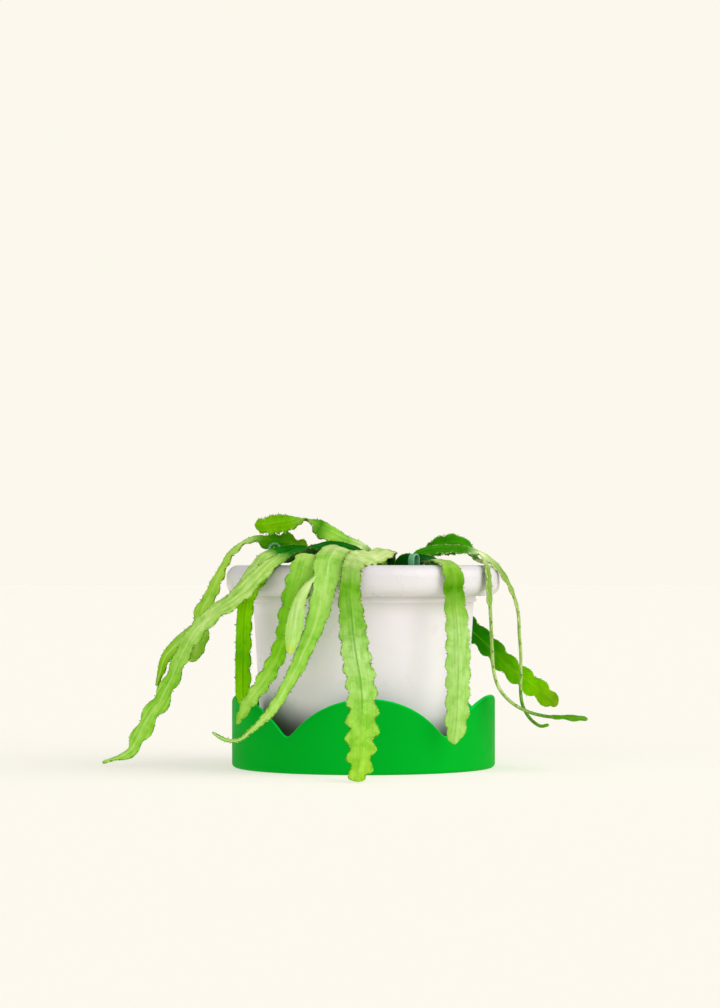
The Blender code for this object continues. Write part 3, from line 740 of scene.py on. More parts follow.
@dataclass(frozen=True)
class StemFinish:
    """A stem's skin: its tones from root to tip, under streaks, blotches, a rib, veins and a margin.

    Reaches are in millimetres from the rib or from the edge, where a mark is full and
    where it has faded out. Shares say how strong each mark is. The tones are partly
    painted light: their dark stops paint shade where a stem lies in shadow, and the pale
    stops on the crests are partly painted highlight.
    """

    name: str
    tones: tuple[Tone, ...]
    rib: Colour
    margin: Colour
    rib_share: float = 0.45
    rib_reach: tuple[float, float] = (0.12, 0.65)
    rib_from: float = -1.0
    rib_until: float = 2.0
    rib_fade: float = 0.08
    glow_share: float = 0.3
    glow_reach: tuple[float, float] = (0.7, 2.6)
    margin_share: float = 0.8
    margin_reach: tuple[float, float] = (0.2, 1.0)
    margin_until: float = 2.0
    margin_end: float = 0.06
    shade_share: float = 0.3
    shade_reach: tuple[float, float] = (0.4, 3.0)
    streak_share: float = 0.34
    streak_grain: float = 1.5
    streak_length: float = 20.0
    streak_detail: float = 3.0
    blotch_share: float = 0.45
    blotch_grain: float = 7.0
    blotch_detail: float = 4.0
    rag: Pattern = Pattern(2.6, 4.0, 0.35, 0.65)
    vein_share: float = 0.1
    vein_skew: float = 0.62
    vein_width: float = 0.09
    vein_fade: float = 0.25
    roughness: float = 0.45
    roughness_spread: float = 0.08
    specular: float = 0.02
    inner_light: float = 0.1
    inner_reach: float = 1.2
    inner_tint: Triple = (0.5, 1.0, 0.2)
    darker: Colour = (0.56, 0.78, 0.3)
    lighter: Colour = (1.3, 1.12, 1.6)
    middle_range: tuple[float, float] = (0.36, 0.66)
    pore_grain: float = 0.7
    pore_detail: float = 3.0
    relief_depth: float = 0.16
    relief_strength: float = 0.4

    def material(self) -> bpy.types.Material:
        """Makes the material. It reads the attributes that Blade writes.

        Returns:
            The material.
        """
        finish = Finish(self.name)
        course = self.parts(finish, "course")
        reach = self.parts(finish, "reach")
        # The tones along the stem, with painted shade and painted highlight among them
        colour = finish.ramp(course["Z"], self.tones)
        colour = self.mottled(finish, colour)
        streaks = self.streaks(finish, course, reach)
        colour = self.shaded(finish, streaks, self.streak_share, colour)
        vein = self.vein(finish, course)
        colour = finish.toned(finish.times(vein, self.vein_share), colour, self.darker)
        colour = self.edged(finish, colour, course, reach)
        finish.drive("Base Color", colour)
        low, high = self.roughness - self.roughness_spread, self.roughness + self.roughness_spread
        finish.drive("Roughness", finish.span(streaks, *self.middle_range, low, high))
        finish.constants(
            Specular_IOR_Level=self.specular,
            Subsurface_Weight=self.inner_light,
            Subsurface_Scale=self.inner_reach * MM,
        )
        finish.shader.inputs["Subsurface Radius"].default_value = self.inner_tint
        pores = finish.noise(self.pore_grain, self.pore_detail)
        height = finish.math("SUBTRACT", finish.math("ADD", pores, streaks), vein)
        finish.relief(height, self.relief_depth, self.relief_strength)
        return finish.material

    def parts(self, finish: Finish, name: str) -> Any:
        """The three parts of a vector attribute."""
        attribute = finish.add("ShaderNodeAttribute", attribute_name=name)
        return finish.add("ShaderNodeSeparateXYZ", {"Vector": attribute.outputs["Vector"]}).outputs

    def shaded(self, finish: Finish, pattern: Socket, share: float, colour: Socket) -> Socket:
        """The colour made darker where a pattern is low and lighter where it is high.

        Args:
            finish: The material's nodes.
            pattern: The pattern, about 0.5 on average.
            share: How strong the change is.
            colour: The colour to change.

        Returns:
            The changed colour's socket.
        """
        low, high = self.middle_range
        middle = (low + high) / 2
        colour = finish.toned(finish.span(pattern, low, middle, share, 0.0), colour, self.darker)
        return finish.toned(finish.span(pattern, middle, high, 0.0, share), colour, self.lighter)

    def mottled(self, finish: Finish, colour: Socket) -> Socket:
        """Soft blotches over the whole stem."""
        blotches = finish.noise(self.blotch_grain, self.blotch_detail)
        return self.shaded(finish, blotches, self.blotch_share, colour)

    def streaks(self, finish: Finish, course: Any, reach: Any) -> Socket:
        """Fine fibres that run along the blade.

        Args:
            finish: The material's nodes.
            course: The parts of the course attribute.
            reach: The parts of the reach attribute.

        Returns:
            A pattern about 0.5 on average.
        """
        side = finish.math("SIGN", course["Y"])
        across = finish.math("DIVIDE", finish.times(reach["X"], side), self.streak_grain)
        along = finish.math("DIVIDE", reach["Z"], self.streak_length)
        place = finish.add("ShaderNodeCombineXYZ", {"X": across, "Y": along})
        inputs = {"Vector": place.outputs["Vector"], "Scale": 1.0, "Detail": self.streak_detail}
        return finish.add("ShaderNodeTexNoise", inputs).outputs["Fac"]

    def edged(self, finish: Finish, colour: Socket, course: Any, reach: Any) -> Socket:
        """The rib with its glow, the shade towards the edge and the ragged dry margin.

        Args:
            finish: The material's nodes.
            colour: The blade's colour.
            course: The parts of the course attribute.
            reach: The parts of the reach attribute.

        Returns:
            The colour with its rib and margin.
        """
        ragged = finish.patches(self.rag)
        shade = finish.span(reach["Y"], *self.shade_reach, self.shade_share, 0.0)
        colour = finish.toned(finish.times(shade, ragged), colour, self.darker)
        begun = finish.span(course["Z"], self.rib_from, self.rib_from + self.rib_fade)
        lasting = finish.span(course["Z"], self.rib_until, self.rib_until + self.rib_fade, 1.0, 0.0)
        shown = finish.times(begun, lasting)
        glow = finish.span(reach["X"], *self.glow_reach, self.glow_share, 0.0)
        colour = finish.toned(finish.times(shown, glow), colour, self.lighter)
        line = finish.span(reach["X"], *self.rib_reach, self.rib_share, 0.0)
        colour = finish.blend(finish.times(shown, line), colour, self.rib)
        edge = finish.span(reach["Y"], *self.margin_reach, self.margin_share, 0.0)
        last = finish.span(course["Z"], self.margin_until, self.margin_until + self.margin_end, 1.0, 0.0)
        return finish.blend(finish.times(finish.times(edge, last), ragged), colour, self.margin)

    def vein(self, finish: Finish, course: Any) -> Socket:
        """Slanting side veins, from the rib to each notch.

        Args:
            finish: The material's nodes.
            course: The parts of the course attribute.

        Returns:
            A factor of 1 on a vein and 0 between veins.
        """
        half = 0.5
        inward = finish.math("SUBTRACT", 1.0, finish.math("ABSOLUTE", course["Y"]))
        slanted = finish.math("ADD", course["X"], finish.times(inward, self.vein_skew))
        from_middle = finish.math("SUBTRACT", finish.math("FRACT", slanted), half)
        line = finish.span(finish.math("ABSOLUTE", from_middle), half - self.vein_width, half)
        return finish.times(line, finish.span(inward, 0.0, self.vein_fade))


@dataclass(frozen=True)
class BristleFinish:
    """Dry, horny hairs or the short wool round them."""

    name: str
    colour: Colour
    other_colour: Colour
    roughness: float = 0.6
    roughness_spread: float = 0.2
    specular: float = 0.3
    variation: Pattern = Pattern(1.2, 3.0, 0.35, 0.65)

    def material(self) -> bpy.types.Material:
        """Makes the material.

        Returns:
            The material.
        """
        finish = Finish(self.name)
        patches = finish.patches(self.variation)
        finish.drive("Base Color", finish.blend(patches, self.colour, self.other_colour))
        roughest = self.roughness + self.roughness_spread
        finish.drive("Roughness", finish.span(patches, 0.0, 1.0, self.roughness, roughest))
        finish.constants(Specular_IOR_Level=self.specular)
        return finish.material


@dataclass(frozen=True)
class Saucer:
    """The green saucer: a flat floor, a rounded corner and an upright wall in five lobes."""

    radius: float = 93.7
    wall: float = 2.5
    corner: float = 3.0
    inner_corner: float = 1.4
    lobes: int = 5
    lobe_top: float = 52.4
    lobe_arc: float = 70.5
    front_lobe_angle: float = -88.5
    notch_rounding: float = 3.6
    lobe_columns: int = 84
    lip_steps: int = 8
    corner_steps: int = 8
    inner_corner_steps: int = 4
    wall_rows: int = 10
    floor_rings: tuple[float, ...] = (4.0, 20.0, 40.0, 60.0, 75.0, 85.0)
    finish: PlasticFinish = PlasticFinish(
        "saucer_plastic", paint(0, 174, 38), paint(0, 166, 38), paint(60, 180, 75),
        # The lip colour paints a highlight along the wall's top edge
        specular=0.015, dust_share=0.005, lip=paint(10, 215, 75),
    )

    def wall_top(self, offset: float) -> float:
        """Height of the wall at this distance along it from a lobe's middle.

        Args:
            offset: The distance along the wall, in millimetres.

        Returns:
            The height in millimetres.
        """
        half_length = self.radius * math.pi / self.lobes
        apart = math.hypot(half_length - abs(offset), self.notch_rounding)
        drop = self.lobe_arc - math.sqrt(self.lobe_arc**2 - (half_length - apart) ** 2)
        return self.lobe_top - drop

    def profile(self, top: float) -> list[tuple[float, float]]:
        """The section through the wall, from the underside up, over the lip and down inside.

        Args:
            top: The wall's height.

        Returns:
            The section's points, as radius and height.
        """
        lip = self.wall / 2
        inner = self.radius - self.wall
        points = [(r, 0.0) for r in self.floor_rings]
        centre = (self.radius - self.corner, self.corner)
        points += arc(centre, self.corner, -90, 0, self.corner_steps)
        for height in np.linspace(self.corner, top - lip, self.wall_rows + 1)[1:-1]:
            points.append((self.radius, height))
        points += arc((self.radius - lip, top - lip), lip, 0, 180, self.lip_steps)
        turn = self.wall + self.inner_corner
        for height in np.linspace(top - lip, turn, self.wall_rows + 1)[1:-1]:
            points.append((inner, height))
        centre = (inner - self.inner_corner, turn)
        points += arc(centre, self.inner_corner, 0, -90, self.inner_corner_steps)
        points += [(r, self.wall) for r in reversed(self.floor_rings)]
        return points

    def mesh(self) -> bpy.types.Mesh:
        """The closed shell, one column of points for each direction.

        Returns:
            The mesh, with its lip marked for the painted highlight.
        """
        half_length = self.radius * math.pi / self.lobes
        columns = []
        lip_highlight_marks = []
        for lobe in range(self.lobes):
            for step in range(self.lobe_columns):
                share = 2 * step / self.lobe_columns - 1
                turn = 2 * math.pi / self.lobes * (lobe + share / 2)
                angle = math.radians(self.front_lobe_angle) + turn
                top = self.wall_top(share * half_length)
                column = []
                for r, z in self.profile(top):
                    column.append((r * math.cos(angle), r * math.sin(angle), z))
                columns.append(column)
                # Points on the lip get the painted highlight
                lip_highlight_marks.append([float(z > top - self.wall / 2) for _, _, z in column])
        mesh = closed_mesh("saucer_shell", np.array(columns).transpose(1, 0, 2))
        ends = [0.0, 0.0]
        store(mesh, "lip", np.array([*np.array(lip_highlight_marks).T.ravel(), *ends]))
        return mesh

    def build(self) -> None:
        """Puts the saucer in place."""
        set_piece("saucer_shell", self.mesh(), self.finish.material(), Slot.SAUCER, "saucer")


@dataclass(frozen=True)
class Pot:
    """The white pot, turned from its outline by a node tree."""

    foot: float = 2.8
    rim_top: float = 143.6
    rim_radius: float = 97.5
    rim_height: float = 21.6
    rim_corner: float = 8.5
    rim_steps: int = 14
    rim_inner_corner: float = 3.0
    rim_inner_steps: int = 8
    bead_radius: float = 80.6
    bead_height: float = 4.4
    bead_corner: float = 0.9
    bead_steps: int = 5
    body_top_radius: float = 78.6
    body_foot_radius: float = 72.0
    foot_corner: float = 3.0
    foot_steps: int = 6
    wall: float = 5.0
    wall_end: float = 138.0
    floor: float = 5.0
    floor_bevel: float = 2.0
    drain_radius: float = 8.0
    drain_corner: float = 1.2
    drain_steps: int = 4
    wall_rows: int = 12
    turn_steps: int = 192
    turning_circle: float = 50.0
    finish: GlazeFinish = GlazeFinish()

    def outline(self) -> list[tuple[float, float]]:
        """The outline, down the outside, in through the drain hole and up the inside.

        Returns:
            The outline's points, as radius and height.
        """
        rim_bottom = self.rim_top - self.rim_height
        rim_centre = self.rim_radius - self.rim_corner
        bead_bottom = rim_bottom - self.bead_height
        bead = self.bead_radius - self.bead_corner
        inner_top = self.body_top_radius - self.wall
        inner_foot = self.body_foot_radius - self.wall
        floor = self.foot + self.floor
        foot = self.foot + self.foot_corner
        drain = self.drain_radius + self.drain_corner
        corner, steps = self.rim_corner, self.rim_steps
        points = arc((rim_centre, self.rim_top - corner), corner, 90, 0, steps)
        points += arc((rim_centre, rim_bottom + corner), corner, 0, -90, steps)
        points.append((bead, rim_bottom))
        points += arc((bead, bead_bottom + self.bead_corner), self.bead_corner, 0, -90, self.bead_steps)
        points += self.straight((self.body_top_radius, bead_bottom), (self.body_foot_radius, foot))
        foot_centre = (self.body_foot_radius - self.foot_corner, foot)
        points += arc(foot_centre, self.foot_corner, 0, -90, self.foot_steps)
        corner, steps = self.drain_corner, self.drain_steps
        points += arc((drain, self.foot + corner), corner, -90, -180, steps)
        points += arc((drain, floor - corner), corner, 180, 90, steps)
        points.append((inner_foot - self.floor_bevel, floor))
        points += self.straight((inner_foot, floor + self.floor_bevel), (inner_top, self.wall_end))
        lip_centre = (inner_top + self.rim_inner_corner, self.rim_top - self.rim_inner_corner)
        points += arc(lip_centre, self.rim_inner_corner, 180, 90, self.rim_inner_steps)
        return points

    def straight(self, start: tuple[float, float], end: tuple[float, float]) -> list:
        """Evenly spaced points along a straight wall, without its end.

        Args:
            start: The first point.
            end: The point that the wall leads to.

        Returns:
            The points, across and up.
        """
        across = np.linspace(start[0], end[0], self.wall_rows, endpoint=False)
        up = np.linspace(start[1], end[1], self.wall_rows, endpoint=False)
        return list(zip(across.tolist(), up.tolist()))

    def maker(self) -> Maker:
        """The tree: the outline swept round a circle.

        Returns:
            The tree.
        """
        maker = Maker("turned_on_a_wheel", {"Turning Circle": "Float", "Steps": "Int"})
        circle = maker.add(
            "GeometryNodeCurvePrimitiveCircle",
            {"Radius": maker.given["Turning Circle"], "Resolution": maker.given["Steps"]},
        )
        level = maker.add("GeometryNodeSetCurveNormal", {"Curve": circle.outputs[0]}, mode="Z_UP")
        outline = maker.add("GeometryNodeMeshToCurve", {"Mesh": maker.given["Geometry"]})
        swept = maker.add(
            "GeometryNodeCurveToMesh",
            {"Curve": level.outputs[0], "Profile Curve": outline.outputs[0]},
        )
        turned = maker.add("GeometryNodeFlipFaces", {"Mesh": swept.outputs[0]})
        maker.finish(turned.outputs[0])
        return maker

    def build(self) -> None:
        """Puts the pot in place."""
        material = self.finish.material()
        points = [((r - self.turning_circle) * MM, -z * MM, 0.0) for r, z in self.outline()]
        edges = [(i, (i + 1) % len(points)) for i in range(len(points))]
        outline = bpy.data.meshes.new("pot_outline")
        outline.from_pydata(points, edges, [])
        values = {
            "Turning Circle": self.turning_circle * MM,
            "Steps": self.turn_steps,
            "Material": material,
        }
        mesh = self.maker().run(place_object(outline.name, outline), values)
        face_outwards(mesh)
        set_piece("pot_turned", mesh, material, Slot.POT, "pot")


@dataclass(frozen=True)
class Soil:
    """The potting mix: a plug with an uneven top, and loose crumbs over it."""

    top: float = 127.0
    bottom: float = 8.1
    top_radius: float = 72.6
    foot_radius: float = 66.9
    unevenness: float = 1.1
    bulges: int = 26
    bulge_pitches: tuple[float, float] = (9.0, 30.0)
    first_ring: float = 0.5
    rings: int = 30
    columns: int = 96
    side_rows: int = 6
    crumbs_per_square_cm: float = 14.0
    crumb_margin: float = 1.5
    crumb_radius: float = 1.15
    crumb_scales: tuple[float, float] = (0.3, 1.0)
    crumb_subdivisions: int = 2
    crumb_roughness: float = 0.7
    rough_grain: float = 1.4
    rough_detail: float = 2.0
    seed: int = 11
    finish: SoilFinish = SoilFinish()

    def top_height(self, x: np.ndarray, y: np.ndarray) -> np.ndarray:
        """Height of the surface, from a sum of soft bulges.

        Args:
            x: Places along X.
            y: Places along Y.

        Returns:
            The height at each place.
        """
        rng = np.random.default_rng(self.seed)
        height = np.zeros_like(x)
        for _ in range(self.bulges):
            angle = rng.uniform(0, 2 * math.pi)
            pitch = rng.uniform(*self.bulge_pitches)
            along = (x * math.cos(angle) + y * math.sin(angle)) / pitch
            height += np.sin(2 * math.pi * along + rng.uniform(0, 2 * math.pi))
        return self.top - self.unevenness + self.unevenness * height / math.sqrt(self.bulges)

    def circle(self, radius: float) -> tuple[np.ndarray, np.ndarray]:
        """The points of one ring, along X and along Y."""
        angles = np.linspace(0, 2 * math.pi, self.columns, endpoint=False)
        return radius * np.cos(angles), radius * np.sin(angles)

    def top_rings(self, radius: float) -> list[np.ndarray]:
        """Rings on the surface, from near its middle out to this radius.

        Args:
            radius: Radius of the last ring.

        Returns:
            The points of each ring.
        """
        rings = []
        for r in np.linspace(self.first_ring, radius, self.rings):
            x, y = self.circle(r)
            rings.append(np.stack([x, y, self.top_height(x, y)], axis=-1))
        return rings

    def mesh(self) -> bpy.types.Mesh:
        """The plug, from the middle of its top out, down its side and in to the middle.

        Returns:
            The closed mesh.
        """
        rings = self.top_rings(self.top_radius)
        for share in np.linspace(0, 1, self.side_rows + 1)[1:]:
            x, y = self.circle(self.top_radius + (self.foot_radius - self.top_radius) * share)
            z = np.full_like(x, self.top + (self.bottom - self.top) * share)
            rings.append(np.stack([x, y, z], axis=-1))
        return closed_mesh("soil_plug", np.array(rings))

    def surface(self) -> bpy.types.Mesh:
        """The plug's top alone, for the crumbs to lie on.

        Returns:
            The open mesh.
        """
        rings = self.top_rings(self.top_radius - self.crumb_margin)
        mesh = bpy.data.meshes.new("soil_surface")
        points = np.array(rings).reshape(-1, 3) * MM
        mesh.from_pydata(points.tolist(), [], grid_quads(self.rings, self.columns).tolist())
        return mesh

    def maker(self) -> Maker:
        """The tree: rough crumbs scattered over the surface.

        Returns:
            The tree.
        """
        maker = Maker("loose_crumbs", {"Density": "Float", "Radius": "Float", "Seed": "Int"})
        given = maker.given
        scattered = maker.add(
            "GeometryNodeDistributePointsOnFaces",
            {"Mesh": given["Geometry"], "Density": given["Density"], "Seed": given["Seed"]},
        )
        crumb = maker.add(
            "GeometryNodeMeshIcoSphere",
            {"Radius": given["Radius"], "Subdivisions": self.crumb_subdivisions},
        )
        turn = maker.random_vector(0.0, 2 * math.pi, given["Seed"])
        rotation = maker.add("FunctionNodeEulerToRotation", {"Euler": turn}).outputs[0]
        scale = maker.random_vector(*self.crumb_scales, maker.math("ADD", given["Seed"], 1))
        placed = maker.copies(
            scattered.outputs["Points"], crumb.outputs["Mesh"], Rotation=rotation, Scale=scale
        )
        real = maker.add("GeometryNodeRealizeInstances", {"Geometry": placed})
        noise = maker.add(
            "ShaderNodeTexNoise", {"Scale": 1 / (self.rough_grain * MM), "Detail": self.rough_detail}
        )
        average = (0.5, 0.5, 0.5)
        centred = maker.vector_math("SUBTRACT", noise.outputs["Color"], average)
        offset = maker.scaled(centred, maker.times(given["Radius"], 2 * self.crumb_roughness))
        rough = maker.add("GeometryNodeSetPosition", {"Geometry": real.outputs[0], "Offset": offset})
        maker.finish(rough.outputs[0])
        return maker

    def build(self) -> None:
        """Puts the soil and its crumbs in place."""
        material = self.finish.material()
        set_piece("soil_plug", self.mesh(), material, Slot.SOIL, "soil")
        values = {
            "Density": self.crumbs_per_square_cm * SQUARE_CM_PER_SQUARE_M,
            "Radius": self.crumb_radius * MM,
            "Seed": self.seed,
            "Material": material,
        }
        crumbs = self.maker().run(place_object("soil_surface", self.surface()), values)
        set_piece("soil_crumbs", crumbs, material, Slot.SOIL)


@dataclass(frozen=True)
class StemPlan:
    """A stem's route and the form of its edges.

    Each stop of the route is (x, y, z, width, facing). A stem with a root gets two more
    stops ahead of its own: the bottom and the top of the straight root in its hole.
    lobes is (length of a lobe near the root, length near the tip), and depth is (share
    of the half width that a notch takes near the root, share near the tip). edges says
    how much of that depth the two edges have, and deepening how late it changes.
    """

    name: str
    root: tuple[float, float] | None
    own_stops: tuple[Stop, ...]
    finish: StemFinish
    lobes: tuple[float, float]
    depth: tuple[float, float]
    deep: bool = False
    node: str = ""
    ripple: float = 0.45
    soil_top: float = 127.0
    root_depth: float = 13.0
    root_width: float = 4.0
    tip: float = 0.5
    roundness: float = 0.75
    edges: tuple[float, float] = (1.0, 1.0)
    deepening: float = 1.0

    def stops(self) -> list[Stop]:
        """All stops, the root's included.

        Returns:
            The stops, from the root to the tip.
        """
        if not self.root:
            return list(self.own_stops)
        x, y = self.root
        *_, facing = self.own_stops[0]
        below = (x, y, self.soil_top - self.root_depth, self.root_width, facing)
        level = (x, y, self.soil_top, self.root_width, facing)
        return [below, level, *self.own_stops]

    def blade_start(self) -> int:
        """The stop at which the lobes begin."""
        return 2 if self.root else 0


@dataclass
class Areoles:
    """The woolly points in the notches: where each one is and which way it looks."""

    points: list[np.ndarray] = field(default_factory=list)
    outward: list[np.ndarray] = field(default_factory=list)
    sizes: list[np.ndarray] = field(default_factory=list)

    def add(self, points: np.ndarray, outward: np.ndarray, size: float) -> None:
        """Takes in more points.

        Args:
            points: Where they are, in millimetres.
            outward: The way that each looks.
            size: Their size, 1 for the largest.
        """
        self.points.append(points)
        self.outward.append(outward)
        self.sizes.append(np.full(len(points), size))

    def host(self, name: str) -> bpy.types.Object:
        """A helper object with one point for each areole.

        Args:
            name: The object's name.

        Returns:
            The object, with each point's direction and size.
        """
        points = np.vstack(self.points) * MM
        mesh = bpy.data.meshes.new(name)
        mesh.from_pydata(points.tolist(), [], [])
        store(mesh, "outward", np.vstack(self.outward))
        store(mesh, "size", np.concatenate(self.sizes))
        return place_object(name, mesh)


class Blade:
    """The body of a stem, read by the length along its curve."""

    # Columns of the curve's rows
    WIDTH = 3
    FACING = 4

    CURVE_STEPS = 36
    TANGENT_REACH = 0.5
    THINNING_LENGTH = 20.0
    LOBE_LEAN = 1.45
    HALF_LOBE = 0.5
    TEETH_PER_LOBE = 4
    TOOTH_DEPTH = 0.35
    DEPTHS_PER_WIDTH = 6
    ROOT_HALF_THICKNESS = 2.0
    ROOT_EDGE_HALF_THICKNESS = 1.2
    RIB_HALF_THICKNESS = 1.2
    EDGE_HALF_THICKNESS = 0.55
    SMALLEST_WIDTH = 0.1
    SLOPE_SHARE = 0.35
    RIB_REACH = 1.5
    PILLOW = 0.07
    STATIONS_PER_LOBE = 24
    STATION_SEARCH_STEP = 0.5
    RIPPLE_PHASE = 0.2
    HAIRY_PHASES = ((0.0, 1.0), (0.36, 0.5), (0.68, 0.55))
    HAIR_SEARCH_STEP = 0.1
    BARE_TIP = 0.4
    SHORTEST_TIP = 1.2
    TIP_STATIONS = 9
    LAST_ROUNDED_SHARE = 0.995
    HAIR_LEAN = 0.7
    ROOT_STEP = 1.5
    ACROSS = (1.0, 0.985, 0.95, 0.88, 0.76, 0.6, 0.45, 0.32, 0.21, 0.12, 0.05, 0.0)

    def __init__(self, plan: StemPlan) -> None:
        """Reads the plan's route into a smooth curve.

        Args:
            plan: The stem's route and the form of its edges.
        """
        self.plan = plan
        stops = plan.stops()
        self.rows = self.smooth_rows(stops)
        steps = np.linalg.norm(np.diff(self.rows[:, :3], axis=0), axis=1)
        self.along = np.concatenate([[0.0], np.cumsum(steps)])
        self.total = float(self.along[-1])
        first = np.array(stops[plan.blade_start()][:3])
        away = np.linalg.norm(self.rows[:, :3] - first, axis=1)
        self.start = float(self.along[int(away.argmin())])
        half = (1.0, *self.ACROSS[1:])
        self.template = np.array([*half, *(-a for a in reversed(half[:-1]))])

    def smooth_rows(self, stops: list[Stop]) -> np.ndarray:
        """Rows of x, y, z, width and facing, read from a smooth curve through the stops.

        Args:
            stops: All stops, the root's included.

        Returns:
            The rows, close together.
        """
        rows = np.array([(x, y, z, width, *facing) for x, y, z, width, facing in stops], float)
        spans = np.linalg.norm(np.diff(rows[:, :3], axis=0), axis=1)
        slopes = np.diff(rows, axis=0) / spans[:, None]
        before, after = spans[:-1, None], spans[1:, None]
        inner = (slopes[:-1] * after + slopes[1:] * before) / (before + after)
        tangents = np.vstack([slopes[:1], inner, slopes[-1:]])
        t = np.linspace(0, 1, self.CURVE_STEPS, endpoint=False)[:, None]
        dense = []
        for i, span in enumerate(spans):
            near = (1 - 3 * t**2 + 2 * t**3) * rows[i]
            far = (3 * t**2 - 2 * t**3) * rows[i + 1]
            leave = (t - 2 * t**2 + t**3) * span * tangents[i]
            arrive = (t**3 - t**2) * span * tangents[i + 1]
            dense.append(near + far + leave + arrive)
        dense.append(rows[-1:])
        return np.vstack(dense)

    def at(self, s: np.ndarray) -> np.ndarray:
        """The curve's rows at these lengths."""
        s = np.clip(s, 0.0, self.total)
        return np.stack([np.interp(s, self.along, column) for column in self.rows.T], axis=-1)

    def share(self, s: np.ndarray) -> np.ndarray:
        """How far along the blade these lengths are, from 0 at its start to 1 at its tip."""
        return np.maximum(0.0, s - self.start) / (self.total - self.start)

    def lobe_count(self, s: np.ndarray) -> np.ndarray:
        """How many lobes lie between the blade's start and these lengths.

        Args:
            s: Lengths along the curve, in millimetres.

        Returns:
            The counts, with fractions.
        """
        near, far = self.plan.lobes
        share = self.share(s)
        return share * (self.total - self.start) / (near + (far - near) * share / 2)

    def edge_share(self, count: np.ndarray, s: np.ndarray, side: int) -> np.ndarray:
        """Share of the half width that an edge has, from its place in its lobe.

        Args:
            count: Lobes since the blade's start.
            s: Lengths along the curve, in millimetres.
            side: 1 for one edge and -1 for the other.

        Returns:
            The shares, 1 where a lobe is widest.
        """
        near, far = self.plan.depth
        notch = near + (far - near) * self.share(s) ** self.plan.deepening
        notch = notch * self.plan.edges[0 if side > 0 else 1]
        swell = np.abs(np.sin(math.pi * (count % 1.0) ** self.LOBE_LEAN)) ** self.plan.roundness
        return 1 - notch * (1 - swell)

    def tooth(self, count: np.ndarray, width: np.ndarray) -> np.ndarray:
        """The width of a side with fine teeth cut into its edge."""
        into = (count * self.TEETH_PER_LOBE) % 1.0
        return width - np.minimum(self.TOOTH_DEPTH, width / self.DEPTHS_PER_WIDTH) * into**2

    def counted(self, step: float) -> tuple[np.ndarray, np.ndarray]:
        """Lengths from the blade's start to its tip, a step apart, and the lobe count at each."""
        lengths = np.linspace(self.start, self.total, round(self.total / step))
        return lengths, self.lobe_count(lengths)

    def stations(self) -> np.ndarray:
        """The lengths at which a ring is made, alike in each lobe.

        Returns:
            The lengths, from the root to the tip.
        """
        root = np.arange(0.0, self.start, self.ROOT_STEP)
        lengths, counts = self.counted(self.STATION_SEARCH_STEP)
        whole = np.arange(math.floor(counts[-1] * self.STATIONS_PER_LOBE) + 1)
        blade = np.interp(whole / self.STATIONS_PER_LOBE, counts, lengths)
        quarter_turn = np.linspace(0, math.pi / 2, self.TIP_STATIONS)
        tip = self.total - self.tip_length() * (1 - np.sin(quarter_turn))
        blade = blade[blade < tip[0]]
        return np.concatenate([root, blade, tip[:-1]])

    def tip_length(self) -> float:
        """Length of the rounded tip."""
        return max(self.SHORTEST_TIP, float(self.rows[-1, self.WIDTH]) * self.plan.tip)

    def frames(self, s: np.ndarray) -> tuple[np.ndarray, ...]:
        """Rows of the curve with its tangent, facing and crosswise directions.

        Args:
            s: Lengths along the curve, in millimetres.

        Returns:
            The rows, tangents, facings and crosswise directions.
        """
        rows = self.at(s)
        ahead = self.at(s + self.TANGENT_REACH)[:, :3]
        tangent = unit(ahead - self.at(s - self.TANGENT_REACH)[:, :3])
        facing = rows[:, self.FACING :]
        facing = unit(facing - tangent * np.sum(facing * tangent, axis=1, keepdims=True))
        return rows, tangent, facing, np.cross(tangent, facing)

    def rounding(self, s: np.ndarray) -> np.ndarray:
        """Factor that narrows the last stretch to a round tip.

        Args:
            s: Lengths along the curve, in millimetres.

        Returns:
            The factors, 1 ahead of the last stretch.
        """
        length = self.tip_length()
        into = np.clip((s - (self.total - length)) / length, 0.0, self.LAST_ROUNDED_SHARE)
        return np.sqrt(1 - into**2)

    def flattening(self, s: np.ndarray) -> np.ndarray:
        """Share of the way from the root's thick form to the flat blade."""
        return np.clip((s - self.start) / self.THINNING_LENGTH, 0.0, 1.0)

    def half_thickness(self, s: np.ndarray, from_rib: np.ndarray, width: np.ndarray) -> np.ndarray:
        """Half the blade's thickness, highest on the rib and round at the edge.

        Args:
            s: Lengths along the curve.
            from_rib: Distance from the rib.
            width: Half width on that side.

        Returns:
            Half thicknesses in millimetres.
        """
        flat = self.flattening(s)
        rib = self.ROOT_HALF_THICKNESS * (1 - flat) + self.RIB_HALF_THICKNESS * flat
        edge = self.ROOT_EDGE_HALF_THICKNESS * (1 - flat) + self.EDGE_HALF_THICKNESS * flat
        slope = 1 - from_rib / np.maximum(width, self.SMALLEST_WIDTH)
        ridge = np.exp(-((from_rib / self.RIB_REACH) ** 2))
        height = edge + (rib - edge) * (self.SLOPE_SHARE * slope + (1 - self.SLOPE_SHARE) * ridge)
        into = np.clip((from_rib - (width - edge)) / edge, 0.0, 1.0)
        return height * np.sqrt(1 - into**2)

